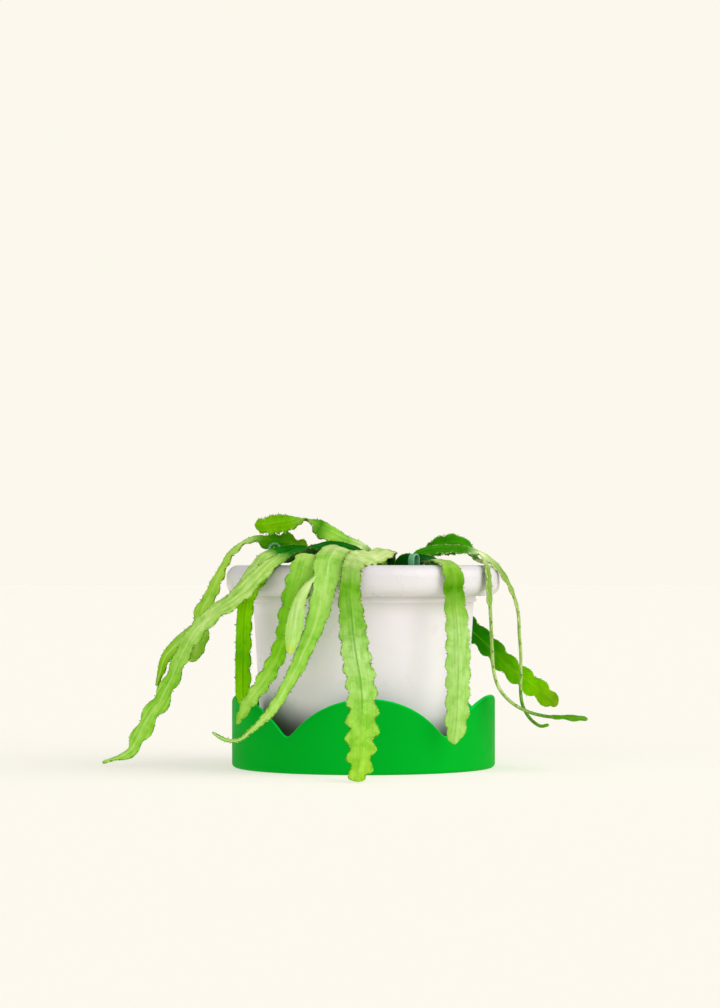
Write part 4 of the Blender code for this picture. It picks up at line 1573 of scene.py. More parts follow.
    def rings(self) -> tuple[np.ndarray, np.ndarray, np.ndarray]:
        """All rings of the skin, with the attributes that the finish reads.

        Returns:
            The points, then (lobe count, place across, share along), then (distance from
            the rib, distance from the edge, length along), one row for each ring.
        """
        s = self.stations()
        rows, _, facing, across = self.frames(s)
        rounding = self.rounding(s)
        counts = self.lobe_count(s)
        other_counts = counts + self.HALF_LOBE
        half = rows[:, self.WIDTH] / 2 * rounding
        left = self.tooth(counts, half * self.edge_share(counts, s, 1))
        right = self.tooth(other_counts, half * self.edge_share(other_counts, s, -1))
        a = self.template[None, :]
        width = np.where(a >= 0, left[:, None], right[:, None])
        phase = np.where(a >= 0, counts[:, None], other_counts[:, None])
        from_rib = np.abs(a) * width
        relief = (self.flattening(s) * rounding)[:, None]
        slanted = phase + (1 - np.abs(a)) * self.plan.finish.vein_skew
        pillow = np.sin(math.pi * (slanted % 1.0)) ** 2 * (1 - a**2) * np.sqrt(np.abs(a))
        thick = self.half_thickness(s[:, None], from_rib, width) * rounding[:, None]
        thick = thick + self.PILLOW * pillow * relief
        wave = np.sin(2 * math.pi * (phase + self.RIPPLE_PHASE))
        lift = self.plan.ripple * a**2 * wave * relief
        line = rows[:, None, :3] + across[:, None, :] * (a * width)[:, :, None]
        front = line + facing[:, None, :] * (lift + thick)[:, :, None]
        back = line + facing[:, None, :] * (lift - thick)[:, :, None]
        places, along = np.broadcast_arrays(a, self.share(s)[:, None])
        course = np.stack([phase, places, along], axis=-1)
        length = np.broadcast_to(s[:, None], from_rib.shape)
        reach = np.stack([from_rib, width - from_rib, length], axis=-1)
        return joined(front, back), joined(course, course), joined(reach, reach)

    def mesh(self) -> bpy.types.Mesh:
        """The stem's closed skin, with its attributes.

        Returns:
            The mesh.
        """
        points, course, reach = self.rings()
        mesh = closed_mesh(self.plan.name, points)
        for name, values in (("course", course), ("reach", reach)):
            ends = [values[0].mean(axis=0), values[-1].mean(axis=0)]
            store(mesh, name, np.vstack([values.reshape(-1, 3), ends]))
        return mesh

    def areoles(self, found: Areoles) -> None:
        """Adds the notches of both edges to the plant's areoles.

        Args:
            found: The plant's areoles.
        """
        lengths, counts = self.counted(self.HAIR_SEARCH_STEP)
        last = float(counts[-1])
        for sign, shift in ((1, 0.0), (-1, self.HALF_LOBE)):
            for phase, size in self.HAIRY_PHASES:
                marks = np.arange(1, math.floor(last)) + phase - shift
                marks = marks[(marks > 0) & (marks < last - self.BARE_TIP)]
                s = np.interp(marks, counts, lengths)
                rows, tangent, facing, across = self.frames(s)
                width = rows[:, self.WIDTH] / 2 * self.edge_share(marks + shift, s, sign)
                lift = self.plan.ripple * math.sin(2 * math.pi * (phase + self.RIPPLE_PHASE))
                points = rows[:, :3] + sign * across * width[:, None] + facing * lift
                found.add(points, unit(sign * across + tangent * self.HAIR_LEAN), size)


def joined(front: np.ndarray, back: np.ndarray) -> np.ndarray:
    """Rings that go over the front and come back behind, sharing the points at both edges."""
    return np.concatenate([front, back[:, -2:0:-1]], axis=1)


def unit(vectors: np.ndarray) -> np.ndarray:
    """Vectors of length one."""
    return vectors / np.linalg.norm(vectors, axis=-1, keepdims=True)


# The stems' skins, each with its tones from the root to the tip. Dark stops near the
# roots and under the crests are painted shade, for parts that lie in shadow inside the
# pot or behind other stems; the palest stops on the crests are partly painted highlight
# and partly the stems' own paler skin.
# Painted shade at the root; the pale stop at 0.2 is partly painted highlight
ARCHED = StemFinish(
    "stem_arched",
    painted(
        (0.0, 20, 85, 5), (0.12, 114, 165, 60), (0.2, 200, 226, 142),
        (0.3, 138, 197, 64), (0.44, 150, 207, 66), (0.52, 58, 134, 0),
        (0.65, 145, 195, 62), (0.75, 112, 180, 3),
    ),
    rib=paint(90, 160, 30), margin=paint(85, 100, 15), margin_share=0.85, shade_share=0.45,
)
# Painted shade: the dark stop at 0.3 darkens the base, in shadow under the crest; the pale stop at 0.43 is
# partly painted highlight
REAR = StemFinish(
    "stem_rear",
    painted(
        (0.22, 135, 205, 18), (0.3, 62, 156, 2), (0.37, 92, 166, 13),
        (0.43, 188, 226, 116), (0.55, 165, 218, 71),
    ),
    rib=paint(185, 228, 110), margin=paint(50, 85, 10), rib_from=0.36,
)
# Painted shade: the dark stops up to 0.25 darken the crest's underside, in shadow; the pale stops after it
# are partly painted highlight on its lit top
SWEEPING = StemFinish(
    "stem_sweeping",
    painted(
        (0.0, 6, 88, 1), (0.2, 10, 104, 1), (0.25, 26, 118, 3),
        (0.29, 174, 217, 102), (0.5, 183, 226, 114), (0.7, 143, 206, 62),
        (1.0, 170, 229, 86),
    ),
    rib=paint(205, 232, 150), margin=paint(70, 100, 20), streak_share=0.6, rib_from=0.24,
)
# It keeps the sweeping skin's painted shade and painted highlight near the root
SHORT = replace(
    SWEEPING,
    name="stem_short",
    tones=SWEEPING.tones[:-2] + painted((0.8, 150, 208, 62), (0.92, 140, 200, 15), (1.0, 125, 180, 8)),
)
# Painted shade: the dark stops up to 0.3 darken the part in shadow behind the other stems
STRAIGHT = StemFinish(
    "stem_straight",
    painted(
        (0.0, 20, 85, 5), (0.3, 47, 94, 23), (0.5, 152, 224, 6),
        (0.8, 100, 180, 0), (1.0, 138, 212, 1),
    ),
    rib=paint(60, 130, 0), margin=paint(30, 75, 3), glow_share=0.1,
)
# Painted shade at the root; the pale stop at 0.1 is partly painted highlight on the crest
NARROW = StemFinish(
    "stem_narrow",
    painted(
        (0.0, 20, 85, 5), (0.1, 204, 233, 122), (0.25, 155, 208, 78),
        (0.37, 125, 195, 42), (0.62, 134, 206, 30), (0.86, 172, 225, 92),
        (1.0, 140, 205, 58),
    ),
    rib=paint(165, 215, 90), margin=paint(50, 90, 10), shade_share=0.6,
)
# Painted shade at the root; the pale stop at 0.16 is partly painted highlight on the crest
BROAD = StemFinish(
    "stem_broad",
    painted(
        (0.05, 45, 105, 10), (0.16, 196, 222, 128), (0.25, 152, 208, 82),
        (0.37, 172, 222, 103), (0.5, 154, 215, 76), (0.8, 170, 222, 93),
        (1.0, 150, 208, 96),
    ),
    rib=paint(205, 236, 150), margin=paint(60, 95, 15),
)
# Painted shade up to 0.06, at the root; the pale stops from 0.1 to 0.25 are partly painted highlight on
# the crest
MOTTLED = StemFinish(
    "stem_mottled",
    painted(
        (0.0, 12, 80, 3), (0.06, 12, 80, 3), (0.1, 208, 230, 142),
        (0.25, 194, 215, 134), (0.38, 115, 178, 40), (0.5, 135, 192, 70),
        (0.58, 177, 219, 122), (0.8, 155, 215, 75), (1.0, 158, 214, 52),
    ),
    rib=paint(80, 155, 25), margin=paint(95, 75, 25), margin_share=0.85, blotch_share=0.55,
    shade_share=0.5, rib_share=0.6, rib_reach=(0.25, 0.9), rib_from=0.36, rib_until=0.74,
)
# Painted shade: the dark stop at 0.24 darkens the part in shadow inside the pot; the pale stop at 0.28 is
# partly painted highlight on the crest
FRONT_LIT = StemFinish(
    "stem_front_lit",
    painted(
        (0.24, 5, 95, 3), (0.28, 186, 212, 124), (0.37, 141, 194, 56),
        (0.44, 82, 153, 2), (0.52, 144, 200, 71), (0.6, 177, 222, 121),
        (1.0, 171, 221, 107),
    ),
    rib=paint(115, 180, 55), margin=paint(125, 140, 60), margin_share=0.7, rib_from=0.24,
)
# Painted shade: the dark stops up to 0.24 darken the part in shadow; the pale stop at 0.29 is partly
# painted highlight on the crest
EDGE_ON = StemFinish(
    "stem_edge_on",
    painted(
        (0.05, 58, 158, 2), (0.24, 63, 144, 12), (0.29, 220, 240, 168),
        (0.38, 128, 166, 66), (0.72, 170, 202, 105), (0.83, 100, 156, 38),
        (0.9, 85, 150, 18), (1.0, 98, 162, 14),
    ),
    rib=paint(60, 110, 15), margin=paint(205, 222, 140), margin_share=0.9, margin_until=0.8,
)
# Painted shade: the dark stops up to 0.65 darken the face that is seen in shadow behind the pot
DEEP = StemFinish(
    "stem_deep",
    painted(
        (0.0, 10, 100, 2), (0.5, 22, 108, 0), (0.65, 40, 141, 0),
        (0.8, 112, 195, 0), (0.88, 140, 220, 1), (1.0, 138, 180, 20),
    ),
    rib=paint(120, 190, 20), margin=paint(120, 160, 20), margin_share=0.6,
)
# Painted shade: the dark stops up to 0.14 darken the bases in shadow inside the pot
BEHIND = StemFinish(
    "stem_behind",
    painted(
        (0.0, 15, 85, 3), (0.14, 20, 95, 5), (0.22, 90, 155, 30),
        (0.4, 105, 172, 35), (1.0, 135, 195, 65),
    ),
    rib=paint(150, 205, 80), margin=paint(60, 95, 15),
)
PALE = StemFinish(
    "stem_pale",
    painted(
        (0.0, 186, 219, 127), (0.25, 195, 227, 134), (0.5, 178, 220, 119),
        (0.85, 182, 228, 115), (0.94, 186, 220, 78),
    ),
    rib=paint(208, 238, 165), margin=paint(140, 185, 70), margin_share=0.4, shade_share=0.2,
    streak_share=0.35, blotch_share=0.25,
)

PLANS = (
    StemPlan("stem_arched_left", (8, 4), (
        (7, 0, 142, 4, FRONT_UP),
        (4, -5, 153, 6, FRONT_UP),
        (-4, -8, 158, 9, FRONT_UP),
        (-13, -10, 161, 11, FRONT_UP),
        (-22, -12, 165.5, 14.5, FRONT_UP),
        (-31, -14, 169.5, 17, FRONT_UP),
        (-37, -16, 174, 13, (0, -0.4, 1)),
        (-41, -17, 176, 8, UP),
        (-46, -18, 175, 10, (0, -0.6, 0.8)),
        (-54, -20, 173.4, 14, (0, -1, 0.4)),
        (-62, -21, 172.6, 15.5, FRONT_TILTED),
        (-70, -22, 171.4, 12.5, FRONT_TILTED),
        (-75, -22, 172, 8, FRONT),
        (-77, -22, 172, 2.5, FRONT),
    ), ARCHED, lobes=(8, 4.6), depth=(0.12, 0.22), deep=True),
    StemPlan("stem_left_rear", (-12, 6), (
        (-16, 4, 137, 5, FRONT_UP),
        (-27, 1, 143, 8, FRONT_UP),
        (-38, -2, 147, 10, FRONT),
        (-46.8, -5, 155, 17, FRONT),
        (-56, -7, 159.6, 16, FRONT),
        (-66, -9, 160, 14.5, FRONT),
        (-76, -10, 162, 8, FRONT_UP),
        (-82, -10, 161, 8, (-0.3, -0.5, 0.8)),
        (-87, -11, 158, 8, (-0.6, -0.5, 0.6)),
        (-91.7, -12, 154, 9, (-0.7, -0.6, 0.4)),
        (-96.5, -12, 148, 9, (-0.7, -0.6, 0.3)),
        (-98.8, -12, 143, 9, (-0.7, -0.7, 0.2)),
        (-102.8, -12, 135, 10, (-0.6, -0.8, 0)),
        (-106, -13, 128, 11, (-0.5, -0.9, 0)),
        (-109.2, -14, 120, 11, (-0.3, -0.9, 0)),
        (-113.5, -15, 112, 13, (-0.2, -1, 0)),
        (-115, -16, 101, 14, FRONT),
        (-116.5, -18, 91, 14, FRONT),
        (-119, -20, 83, 13, FRONT),
        (-120, -22, 78, 7, FRONT),
        (-123, -23, 76, 3, FRONT),
    ), REAR, lobes=(10, 12), depth=(0.5, 0.15), deep=True, roundness=1.0),
    StemPlan("stem_left_short", (-20, -22), (
        (-24, -27, 141, 5, FRONT_UP),
        (-33, -36, 151, 8, FRONT_UP),
        (-44, -43, 154.3, 10, FRONT_UP),
        (-55, -48, 153.4, 10.5, FRONT_UP),
        (-65.5, -54, 151.2, 12, UP_FRONT),
        (-71, -59, 147.6, 12.5, (-0.4, -0.5, 0.75)),
        (-76.5, -65, 140, 11.5, (-0.6, -0.75, 0.3)),
        (-83.2, -65, 130.5, 9, (-0.5, -0.8, 0.2)),
        (-89, -63, 123, 9, (-0.4, -0.9, 0.2)),
        (-102, -58, 112, 10, (-0.3, -0.9, 0.2)),
        (-114, -50, 101, 10, (-0.3, -0.9, 0.2)),
        (-125, -42, 93, 10, (-0.3, -0.9, 0.2)),
        (-134, -34, 85, 9, (-0.3, -0.9, 0.1)),
        (-140, -28, 77, 8, (-0.4, -0.9, 0)),
        (-143, -24, 68, 6, (-0.4, -0.9, 0)),
        (-146, -22, 58, 2.5, (-0.4, -0.9, 0)),
    ), SHORT, lobes=(12, 12), depth=(0.15, 0.12)),
    StemPlan("stem_left_long", (4, -26), (
        (2, -30, 143, 5, FRONT_UP),
        (-4, -37, 153, 9, FRONT_UP),
        (-13, -45, 156, 11, FRONT_UP),
        (-23, -52, 156.5, 12, FRONT_UP),
        (-32, -60, 156, 10, UP_FRONT),
        (-40, -66, 155, 8, (0, -0.1, 1)),
        (-47, -72, 153, 9, (-0.1, -0.25, 1)),
        (-55, -78, 149.6, 10, (-0.2, -0.5, 0.8)),
        (-64, -82, 143.8, 11, (-0.2, -0.8, 0.5)),
        (-72.3, -84, 136, 12.2, (-0.2, -1, 0.3)),
        (-81, -82, 127, 13, (-0.2, -1, 0.3)),
        (-90, -78, 119, 13, (-0.3, -1, 0.3)),
        (-101, -71, 112, 13, (-0.3, -1, 0.3)),
        (-111, -63, 103, 14, (-0.4, -1, 0.2)),
        (-119, -56, 94, 14, (-0.4, -1, 0.1)),
        (-125, -48, 84, 13, (-0.4, -1, 0)),
        (-129.5, -41, 75, 13, (-0.4, -1, 0)),
        (-134, -35, 65, 13, (-0.3, -1, 0)),
        (-138.8, -30, 56, 14, (-0.3, -1, 0)),
        (-143.5, -25, 47, 15, (-0.2, -1, 0)),
        (-150, -20, 38, 15, (-0.2, -1, 0.1)),
        (-155.3, -16, 29, 15, (-0.2, -1, 0.2)),
        (-160, -12, 20, 15, (-0.2, -1, 0.3)),
        (-165, -8, 12, 11, (-0.2, -1, 0.5)),
        (-173, -5, 7, 7, (-0.2, -1, 0.8)),
        (-186, -3, 3, 3, (0, -0.8, 0.8)),
    ), SWEEPING, lobes=(12, 24), depth=(0.12, 0.52), roundness=1.05, deepening=2.0),
    StemPlan("stem_left_straight", (-14, -40), (
        (-17, -43, 139, 5, FRONT_UP),
        (-24, -48, 148, 8, FRONT_UP),
        (-32, -52, 151, 10, FRONT_UP),
        (-41, -57, 151, 10, FRONT_UP),
        (-50, -62, 149, 11, (-0.1, -0.6, 0.75)),
        (-59, -67, 146, 11, (-0.35, -0.45, 0.82)),
        (-67, -72, 141, 11, (-0.5, -0.75, 0.4)),
        (-73, -74, 133, 12, (-0.4, -0.9, 0.1)),
        (-79, -73, 124, 12, LEFT_FRONT),
        (-81.2, -71, 115, 12, LEFT_FRONT),
        (-82.2, -69, 106, 12, LEFT_FRONT),
        (-82.8, -68, 92, 12, LEFT_FRONT),
        (-83.2, -67, 78, 12, LEFT_FRONT),
        (-83.2, -66, 64, 12, LEFT_FRONT),
        (-83, -66, 55, 12, LEFT_FRONT),
        (-82.4, -66, 47, 9.5, LEFT_FRONT),
    ), STRAIGHT, lobes=(12, 12), depth=(0.15, 0.2), deep=True, tip=0.3, edges=(0.1, 1.0)),
    StemPlan("stem_front_narrow", (-24, -52), (
        (-25, -57, 140, 5, UP_FRONT),
        (-28, -64, 147, 7, UP_FRONT),
        (-34, -72, 149.5, 10, UP_FRONT),
        (-37.5, -80, 150, 17, UP_FRONT),
        (-40.2, -89, 144.8, 20, (-0.2, -0.9, 0.4)),
        (-42.6, -93, 135.5, 20.5, (-0.1, -1, 0.1)),
        (-46, -94, 126, 20, FRONT),
        (-48.6, -94, 116, 17.5, FRONT),
        (-51.3, -95, 106, 16.5, FRONT),
        (-53.5, -95, 95, 14.2, FRONT),
        (-57.8, -94, 84, 12.5, FRONT),
        (-63.2, -92, 73, 12.5, FRONT),
        (-68.5, -89, 64, 12.5, FRONT),
        (-74, -85, 56, 11, FRONT),
        (-80, -80, 48, 10, FRONT),
        (-84, -76, 41, 8, FRONT),
        (-87, -72, 34, 3, FRONT),
    ), NARROW, lobes=(12, 12), depth=(0.2, 0.35)),
    StemPlan("stem_front_broad", (6, -48), (
        (4, -50, 141, 6, UP_FRONT),
        (-2, -54, 148.5, 8, UP_FRONT),
        (-9, -60, 152.5, 13, UP_FRONT),
        (-15.5, -69, 155, 21, UP_FRONT),
        (-20.8, -82, 151.5, 22.5, UP_FRONT),
        (-24, -94, 144, 22, (0, -0.85, 0.5)),
        (-25, -100, 136, 20, (0, -1, 0.1)),
        (-27, -102, 128, 17, FRONT),
        (-29.5, -103, 116, 16.5, FRONT),
        (-33.5, -104, 102, 13.8, FRONT),
        (-40.2, -104, 86, 11.8, FRONT),
        (-44.8, -104, 75, 11.2, FRONT),
        (-50.8, -104, 64, 9, FRONT),
        (-59, -104, 50, 8, FRONT),
        (-65, -104, 42, 7, FRONT),
        (-71, -103, 36, 5, FRONT),
        (-78, -102, 30, 4, FRONT),
        (-84, -101, 25, 3, FRONT),
        (-90, -100, 24, 3, FRONT),
        (-97, -100, 26, 3, FRONT),
        (-103, -100, 30, 2, FRONT),
    ), BROAD, lobes=(14, 12), depth=(0.12, 0.15)),
    StemPlan("stem_front_middle", (18, -43), (
        (19, -44, 141, 5, UP_FRONT),
        (18.5, -49, 152.5, 10, UP_FRONT),
        (15.5, -56, 153.5, 17, UP_FRONT),
        (10.5, -65, 150.8, 20, (-0.1, -0.55, 0.83)),
        (4, -75, 149.3, 19.5, (0.25, -0.5, 0.83)),
        (-3.2, -88, 147.8, 18, (0.35, -0.5, 0.8)),
        (-7.5, -99.5, 143, 15, (0, -0.8, 0.6)),
        (-9, -104.5, 132, 15, FRONT_TILTED),
        (-9.4, -108, 121, 16.5, FRONT_TILTED),
        (-8.3, -111, 111, 18, FRONT_TILTED),
        (-7.3, -115, 100, 20, FRONT_TILTED),
        (-6.2, -120, 90, 20.5, FRONT_TILTED),
        (-4.3, -126, 78, 21.5, FRONT_TILTED),
        (-2.4, -131, 68, 22, FRONT_TILTED),
        (-1.5, -135, 60, 22, FRONT_TILTED),
        (-1, -139, 51, 22, FRONT_TILTED),
        (-1, -143, 42, 23, FRONT_TILTED),
        (-1, -147, 33, 23, FRONT_TILTED),
        (-2, -152, 24, 22, FRONT_TILTED),
        (-2, -156, 15, 20, FRONT_TILTED),
        (-3, -161, 7, 17.5, FRONT_TILTED),
        (-3, -165.5, 1, 13, FRONT_TILTED),
    ), MOTTLED, lobes=(9.2, 14), depth=(0.1, 0.46), tip=0.2, roundness=1.05, deepening=2.6),
    StemPlan("stem_front_right", (24, -24), (
        (24, -26, 137, 10, FRONT),
        (28, -30, 143, 16, FRONT),
        (36, -37, 146, 12, (0, -0.95, 0.2)),
        (43, -48, 147, 12, (0, -0.8, 0.6)),
        (48, -59, 146.6, 13, (0.1, -0.45, 0.9)),
        (54, -70, 146.6, 14, (0.2, -0.3, 0.93)),
        (59.5, -79, 142.6, 14, (0.3, -0.7, 0.65)),
        (61.8, -83.5, 136, 15, (0.2, -1, 0.1)),
        (61.8, -84.5, 130, 15, (0.1, -1, 0)),
        (62.3, -85, 120, 15.4, FRONT),
        (63.8, -86, 106, 16.8, FRONT),
        (64.6, -87, 92, 17.6, FRONT),
        (64.6, -88, 79, 18, FRONT),
        (64.6, -89, 65, 18, FRONT),
        (64.2, -90, 51, 17.4, FRONT),
        (63.7, -91, 41, 17, FRONT),
        (62.8, -91, 31, 14.5, FRONT),
        (62, -91, 25, 10, FRONT),
        (62, -91, 21, 3, FRONT),
    ), FRONT_LIT, lobes=(13, 13), depth=(0.15, 0.22)),
    StemPlan("stem_right_outer", (32, -6), (
        (33, -8, 142, 6, FRONT_UP),
        (39, -12, 151, 9, FRONT_UP),
        (48, -16, 154, 10, FRONT_UP),
        (60, -20, 155, 9, FRONT_UP),
        (71, -22, 154.5, 8, FRONT_UP),
        (81, -22, 152.5, 8, (0.3, -0.4, 0.9)),
        (88.2, -22, 147.8, 9, (0.5, -0.5, 0.7)),
        (95.7, -22, 140.8, 9, (0.7, -0.45, 0.5)),
        (101.5, -22, 132, 9, (0.85, -0.35, 0.35)),
        (106, -22, 122, 9, (0.95, -0.25, 0.15)),
        (109, -22, 111, 9, (1, -0.1, 0)),
        (110, -22, 95, 9, RIGHT),
        (111, -22, 80, 9, RIGHT),
        (111, -22, 64, 9, RIGHT),
        (111, -22, 53, 9, RIGHT),
        (112, -22, 46, 9, (1, 0, 0.2)),
        (115, -22, 39, 8, (0.9, 0, 0.5)),
        (120, -22, 33, 7, (0.6, 0, 0.8)),
        (125, -22, 30, 6, (0.2, 0, 1)),
        (131, -22, 31, 3, (0, 0, 1)),
    ), EDGE_ON, lobes=(9, 12), depth=(0.15, 0.2), deep=True),
    StemPlan("stem_right_inner", (38, 8), (
        (39, 7, 142, 6, FRONT_UP),
        (44, 4, 150, 8, FRONT_UP),
        (52, 1, 156.3, 13.5, FRONT),
        (62, 0, 158.4, 16, FRONT),
        (71, -3, 157, 14.5, FRONT_UP),
        (77, -8, 152, 8, (0.2, -0.4, 0.9)),
        (80, -16, 148, 6, (0.2, -0.1, 1)),
        (83, -26, 146, 6, (0.2, 0, 1)),
        (85.5, -40, 145.2, 7, (0.6, 0, 0.8)),
        (87, -50.5, 136.5, 9, (0.9, -0.4, 0.2)),
        (87.3, -52, 126, 9, (0.85, -0.5, 0)),
        (88, -51.5, 116, 9.5, (0.95, -0.3, 0)),
        (88.7, -50.5, 105, 10, RIGHT),
        (89.7, -48.5, 84, 10, RIGHT),
        (91, -46, 69, 10, RIGHT),
        (94, -45, 59, 10, (0.9, 0, 0.4)),
        (103, -44, 48, 10, (0.6, 0, 0.8)),
        (113, -43, 42, 10, (0.4, 0, 0.9)),
        (127, -42, 38, 10, (0.2, 0, 1)),
        (142, -41, 37, 10, (0, -0.3, 0.95)),
        (157, -40, 36, 10, (0, -0.35, 0.93)),
    ), EDGE_ON, lobes=(7.5, 12), depth=(0.16, 0.2), deep=True),
    StemPlan("stem_right_rear", (28, 34), (
        (31, 40, 140, 6, (0.3, 0.3, 0.9)),
        (36, 52, 148, 10, (0.3, 0.3, 0.9)),
        (42, 66, 150, 13, (0.3, 0.3, 0.9)),
        (47, 80, 149, 14, (0.3, 0.4, 0.85)),
        (51, 90, 144, 14, (0.4, 0.6, 0.65)),
        (55, 97, 135, 14, (0.4, 0.9, 0.2)),
        (60, 99, 122, 16.5, (0.35, 0.9, 0.2)),
        (68, 96, 109, 18, RIGHT_BACK),
        (78, 91, 98, 18.5, RIGHT_BACK),
        (94, 83, 83, 18.5, RIGHT_BACK),
        (105, 78, 71, 18.5, RIGHT_BACK),
        (117, 72, 61, 18.5, RIGHT_BACK),
        (130, 67, 51, 18, RIGHT_BACK),
        (142.5, 61.5, 41, 13.5, RIGHT_BACK),
    ), DEEP, lobes=(15, 15), depth=(0.2, 0.35), deep=True),
    StemPlan("stem_back_left", (-14, 36), (
        (-15, 42, 140, 6, UP_BACK),
        (-18, 56, 149, 10, UP_BACK),
        (-22, 74, 151, 12, UP),
        (-25, 90, 148, 12, UP_BACK),
        (-27, 100, 139, 12, (0, 0.85, 0.5)),
        (-28, 104, 126, 13, BACK),
        (-30, 105, 110, 13, BACK),
        (-33, 106, 92, 13, BACK),
        (-37, 107, 76, 12, BACK),
        (-42, 108, 60, 9, BACK),
        (-45, 108, 50, 3, BACK),
    ), BEHIND, lobes=(12, 12), depth=(0.2, 0.3)),
    StemPlan("stem_back_right", (8, 40), (
        (9, 45, 140, 6, UP_BACK),
        (12, 58, 149, 10, UP_BACK),
        (14, 76, 151, 12, UP),
        (15, 92, 148, 12, UP_BACK),
        (15, 101, 139, 12, (0, 0.85, 0.5)),
        (16, 104, 126, 13, BACK),
        (18, 105, 110, 13, BACK),
        (22, 106, 94, 12, BACK),
        (26, 107, 80, 10, BACK),
        (29, 107, 68, 3, BACK),
    ), BEHIND, lobes=(12, 12), depth=(0.2, 0.3)),
    StemPlan("young_shoot", None, (
        (-33, -100, 135.5, 2.2, FRONT),
        (-36, -103, 132.5, 3.4, FRONT),
        (-40, -105.5, 126.5, 6.4, FRONT),
        (-43.3, -107, 119.5, 8.2, FRONT),
        (-45.2, -108, 111.5, 10.8, FRONT),
        (-46.6, -108.5, 103, 12.4, FRONT),
        (-48.4, -108.5, 94, 10.2, FRONT),
        (-49.6, -108.5, 87.5, 7, FRONT),
        (-50.2, -108.5, 83, 3.6, FRONT),
    ), PALE, lobes=(9, 9), depth=(0.06, 0.06), node="stem_front_broad", ripple=0.15),
)


@dataclass(frozen=True)
class Hairs:
    """Wool and bristles on the areoles."""

    bristles: int = 5
    bristle_length: float = 1.9
    bristle_thickness: float = 0.6
    bristle_spread: float = 0.6
    bristle_sides: int = 5
    bristle_scales: tuple[float, float] = (0.45, 1.0)
    wool_radius: float = 0.6
    wool_subdivisions: int = 1
    wool_scales: tuple[float, float] = (0.6, 1.2)
    seed: int = 5
    dark: BristleFinish = BristleFinish("dark_bristle", paint(42, 46, 14), paint(90, 92, 34))
    wool: BristleFinish = BristleFinish(
        "areole_wool", paint(228, 226, 165), paint(196, 200, 110), roughness=0.85
    )

    def bristle_maker(self) -> Maker:
        """The tree: thin cones that spread from each areole.

        Returns:
            The tree.
        """
        inputs = {
            "Bristles": "Int",
            "Length": "Float",
            "Thickness": "Float",
            "Spread": "Float",
            "Seed": "Int",
        }
        maker = Maker("bristles_on_areoles", inputs)
        given = maker.given
        points = maker.add("GeometryNodeMeshToPoints", {"Mesh": given["Geometry"]})
        several = maker.add(
            "GeometryNodeDuplicateElements",
            {"Geometry": points.outputs[0], "Amount": given["Bristles"]},
            domain="POINT",
        )
        spread = maker.scaled(maker.random_vector(-1.0, 1.0, given["Seed"]), given["Spread"])
        direction = maker.vector_math("ADD", maker.named("outward"), spread)
        aligned = maker.add("FunctionNodeAlignRotationToVector", {"Vector": direction}, axis="Z")
        cone = maker.add(
            "GeometryNodeMeshCone",
            {
                "Vertices": self.bristle_sides,
                "Radius Top": 0.0,
                "Radius Bottom": maker.math("DIVIDE", given["Thickness"], 2.0),
                "Depth": given["Length"],
            },
        )
        vary = maker.random_number(*self.bristle_scales, maker.math("ADD", given["Seed"], 1))
        placed = maker.copies(
            several.outputs["Geometry"],
            cone.outputs["Mesh"],
            Rotation=aligned.outputs[0],
            Scale=maker.times(vary, maker.named("size", "FLOAT")),
        )
        maker.finish(placed)
        return maker

    def wool_maker(self) -> Maker:
        """The tree: a small soft ball on each areole.

        Returns:
            The tree.
        """
        maker = Maker("wool_on_areoles", {"Radius": "Float", "Seed": "Int"})
        given = maker.given
        points = maker.add("GeometryNodeMeshToPoints", {"Mesh": given["Geometry"]})
        ball = maker.add(
            "GeometryNodeMeshIcoSphere",
            {"Radius": given["Radius"], "Subdivisions": self.wool_subdivisions},
        )
        vary = maker.random_number(*self.wool_scales, given["Seed"])
        size = maker.times(vary, maker.named("size", "FLOAT"))
        maker.finish(maker.copies(points.outputs[0], ball.outputs["Mesh"], Scale=size))
        return maker

    def build(self, areoles: Areoles) -> None:
        """Puts the bristles and the wool in place.

        Args:
            areoles: Where the hairs stand.
        """
        dark = self.dark.material()
        values = {
            "Bristles": self.bristles,
            "Length": self.bristle_length * MM,
            "Thickness": self.bristle_thickness * MM,
            "Spread": self.bristle_spread,
            "Seed": self.seed,
            "Material": dark,
        }
        bristles = self.bristle_maker().run(areoles.host("bristle_roots"), values)
        set_piece("areole_bristles", bristles, dark, Slot.DEEP_STEM)
        pale = self.wool.material()
        values = {"Radius": self.wool_radius * MM, "Seed": self.seed, "Material": pale}
        wool = self.wool_maker().run(areoles.host("wool_roots"), values)
        set_piece("areole_wool", wool, pale, Slot.STEM)


@dataclass(frozen=True)
class Plant:
    """All the stems, the young shoot and their hairs."""

    plans: tuple[StemPlan, ...]
    hairs: Hairs = Hairs()

    def build(self) -> None:
        """Puts each stem in place, then the hairs of all."""
        areoles = Areoles()
        materials: dict[str, bpy.types.Material] = {}
        for plan in self.plans:
            blade = Blade(plan)
            blade.areoles(areoles)
            if plan.finish.name not in materials:
                materials[plan.finish.name] = plan.finish.material()
            slot = Slot.DEEP_STEM if plan.deep else Slot.STEM
            node = plan.node or plan.name
            set_piece("fine_" + plan.name, blade.mesh(), materials[plan.finish.name], slot, node)
        self.hairs.build(areoles)


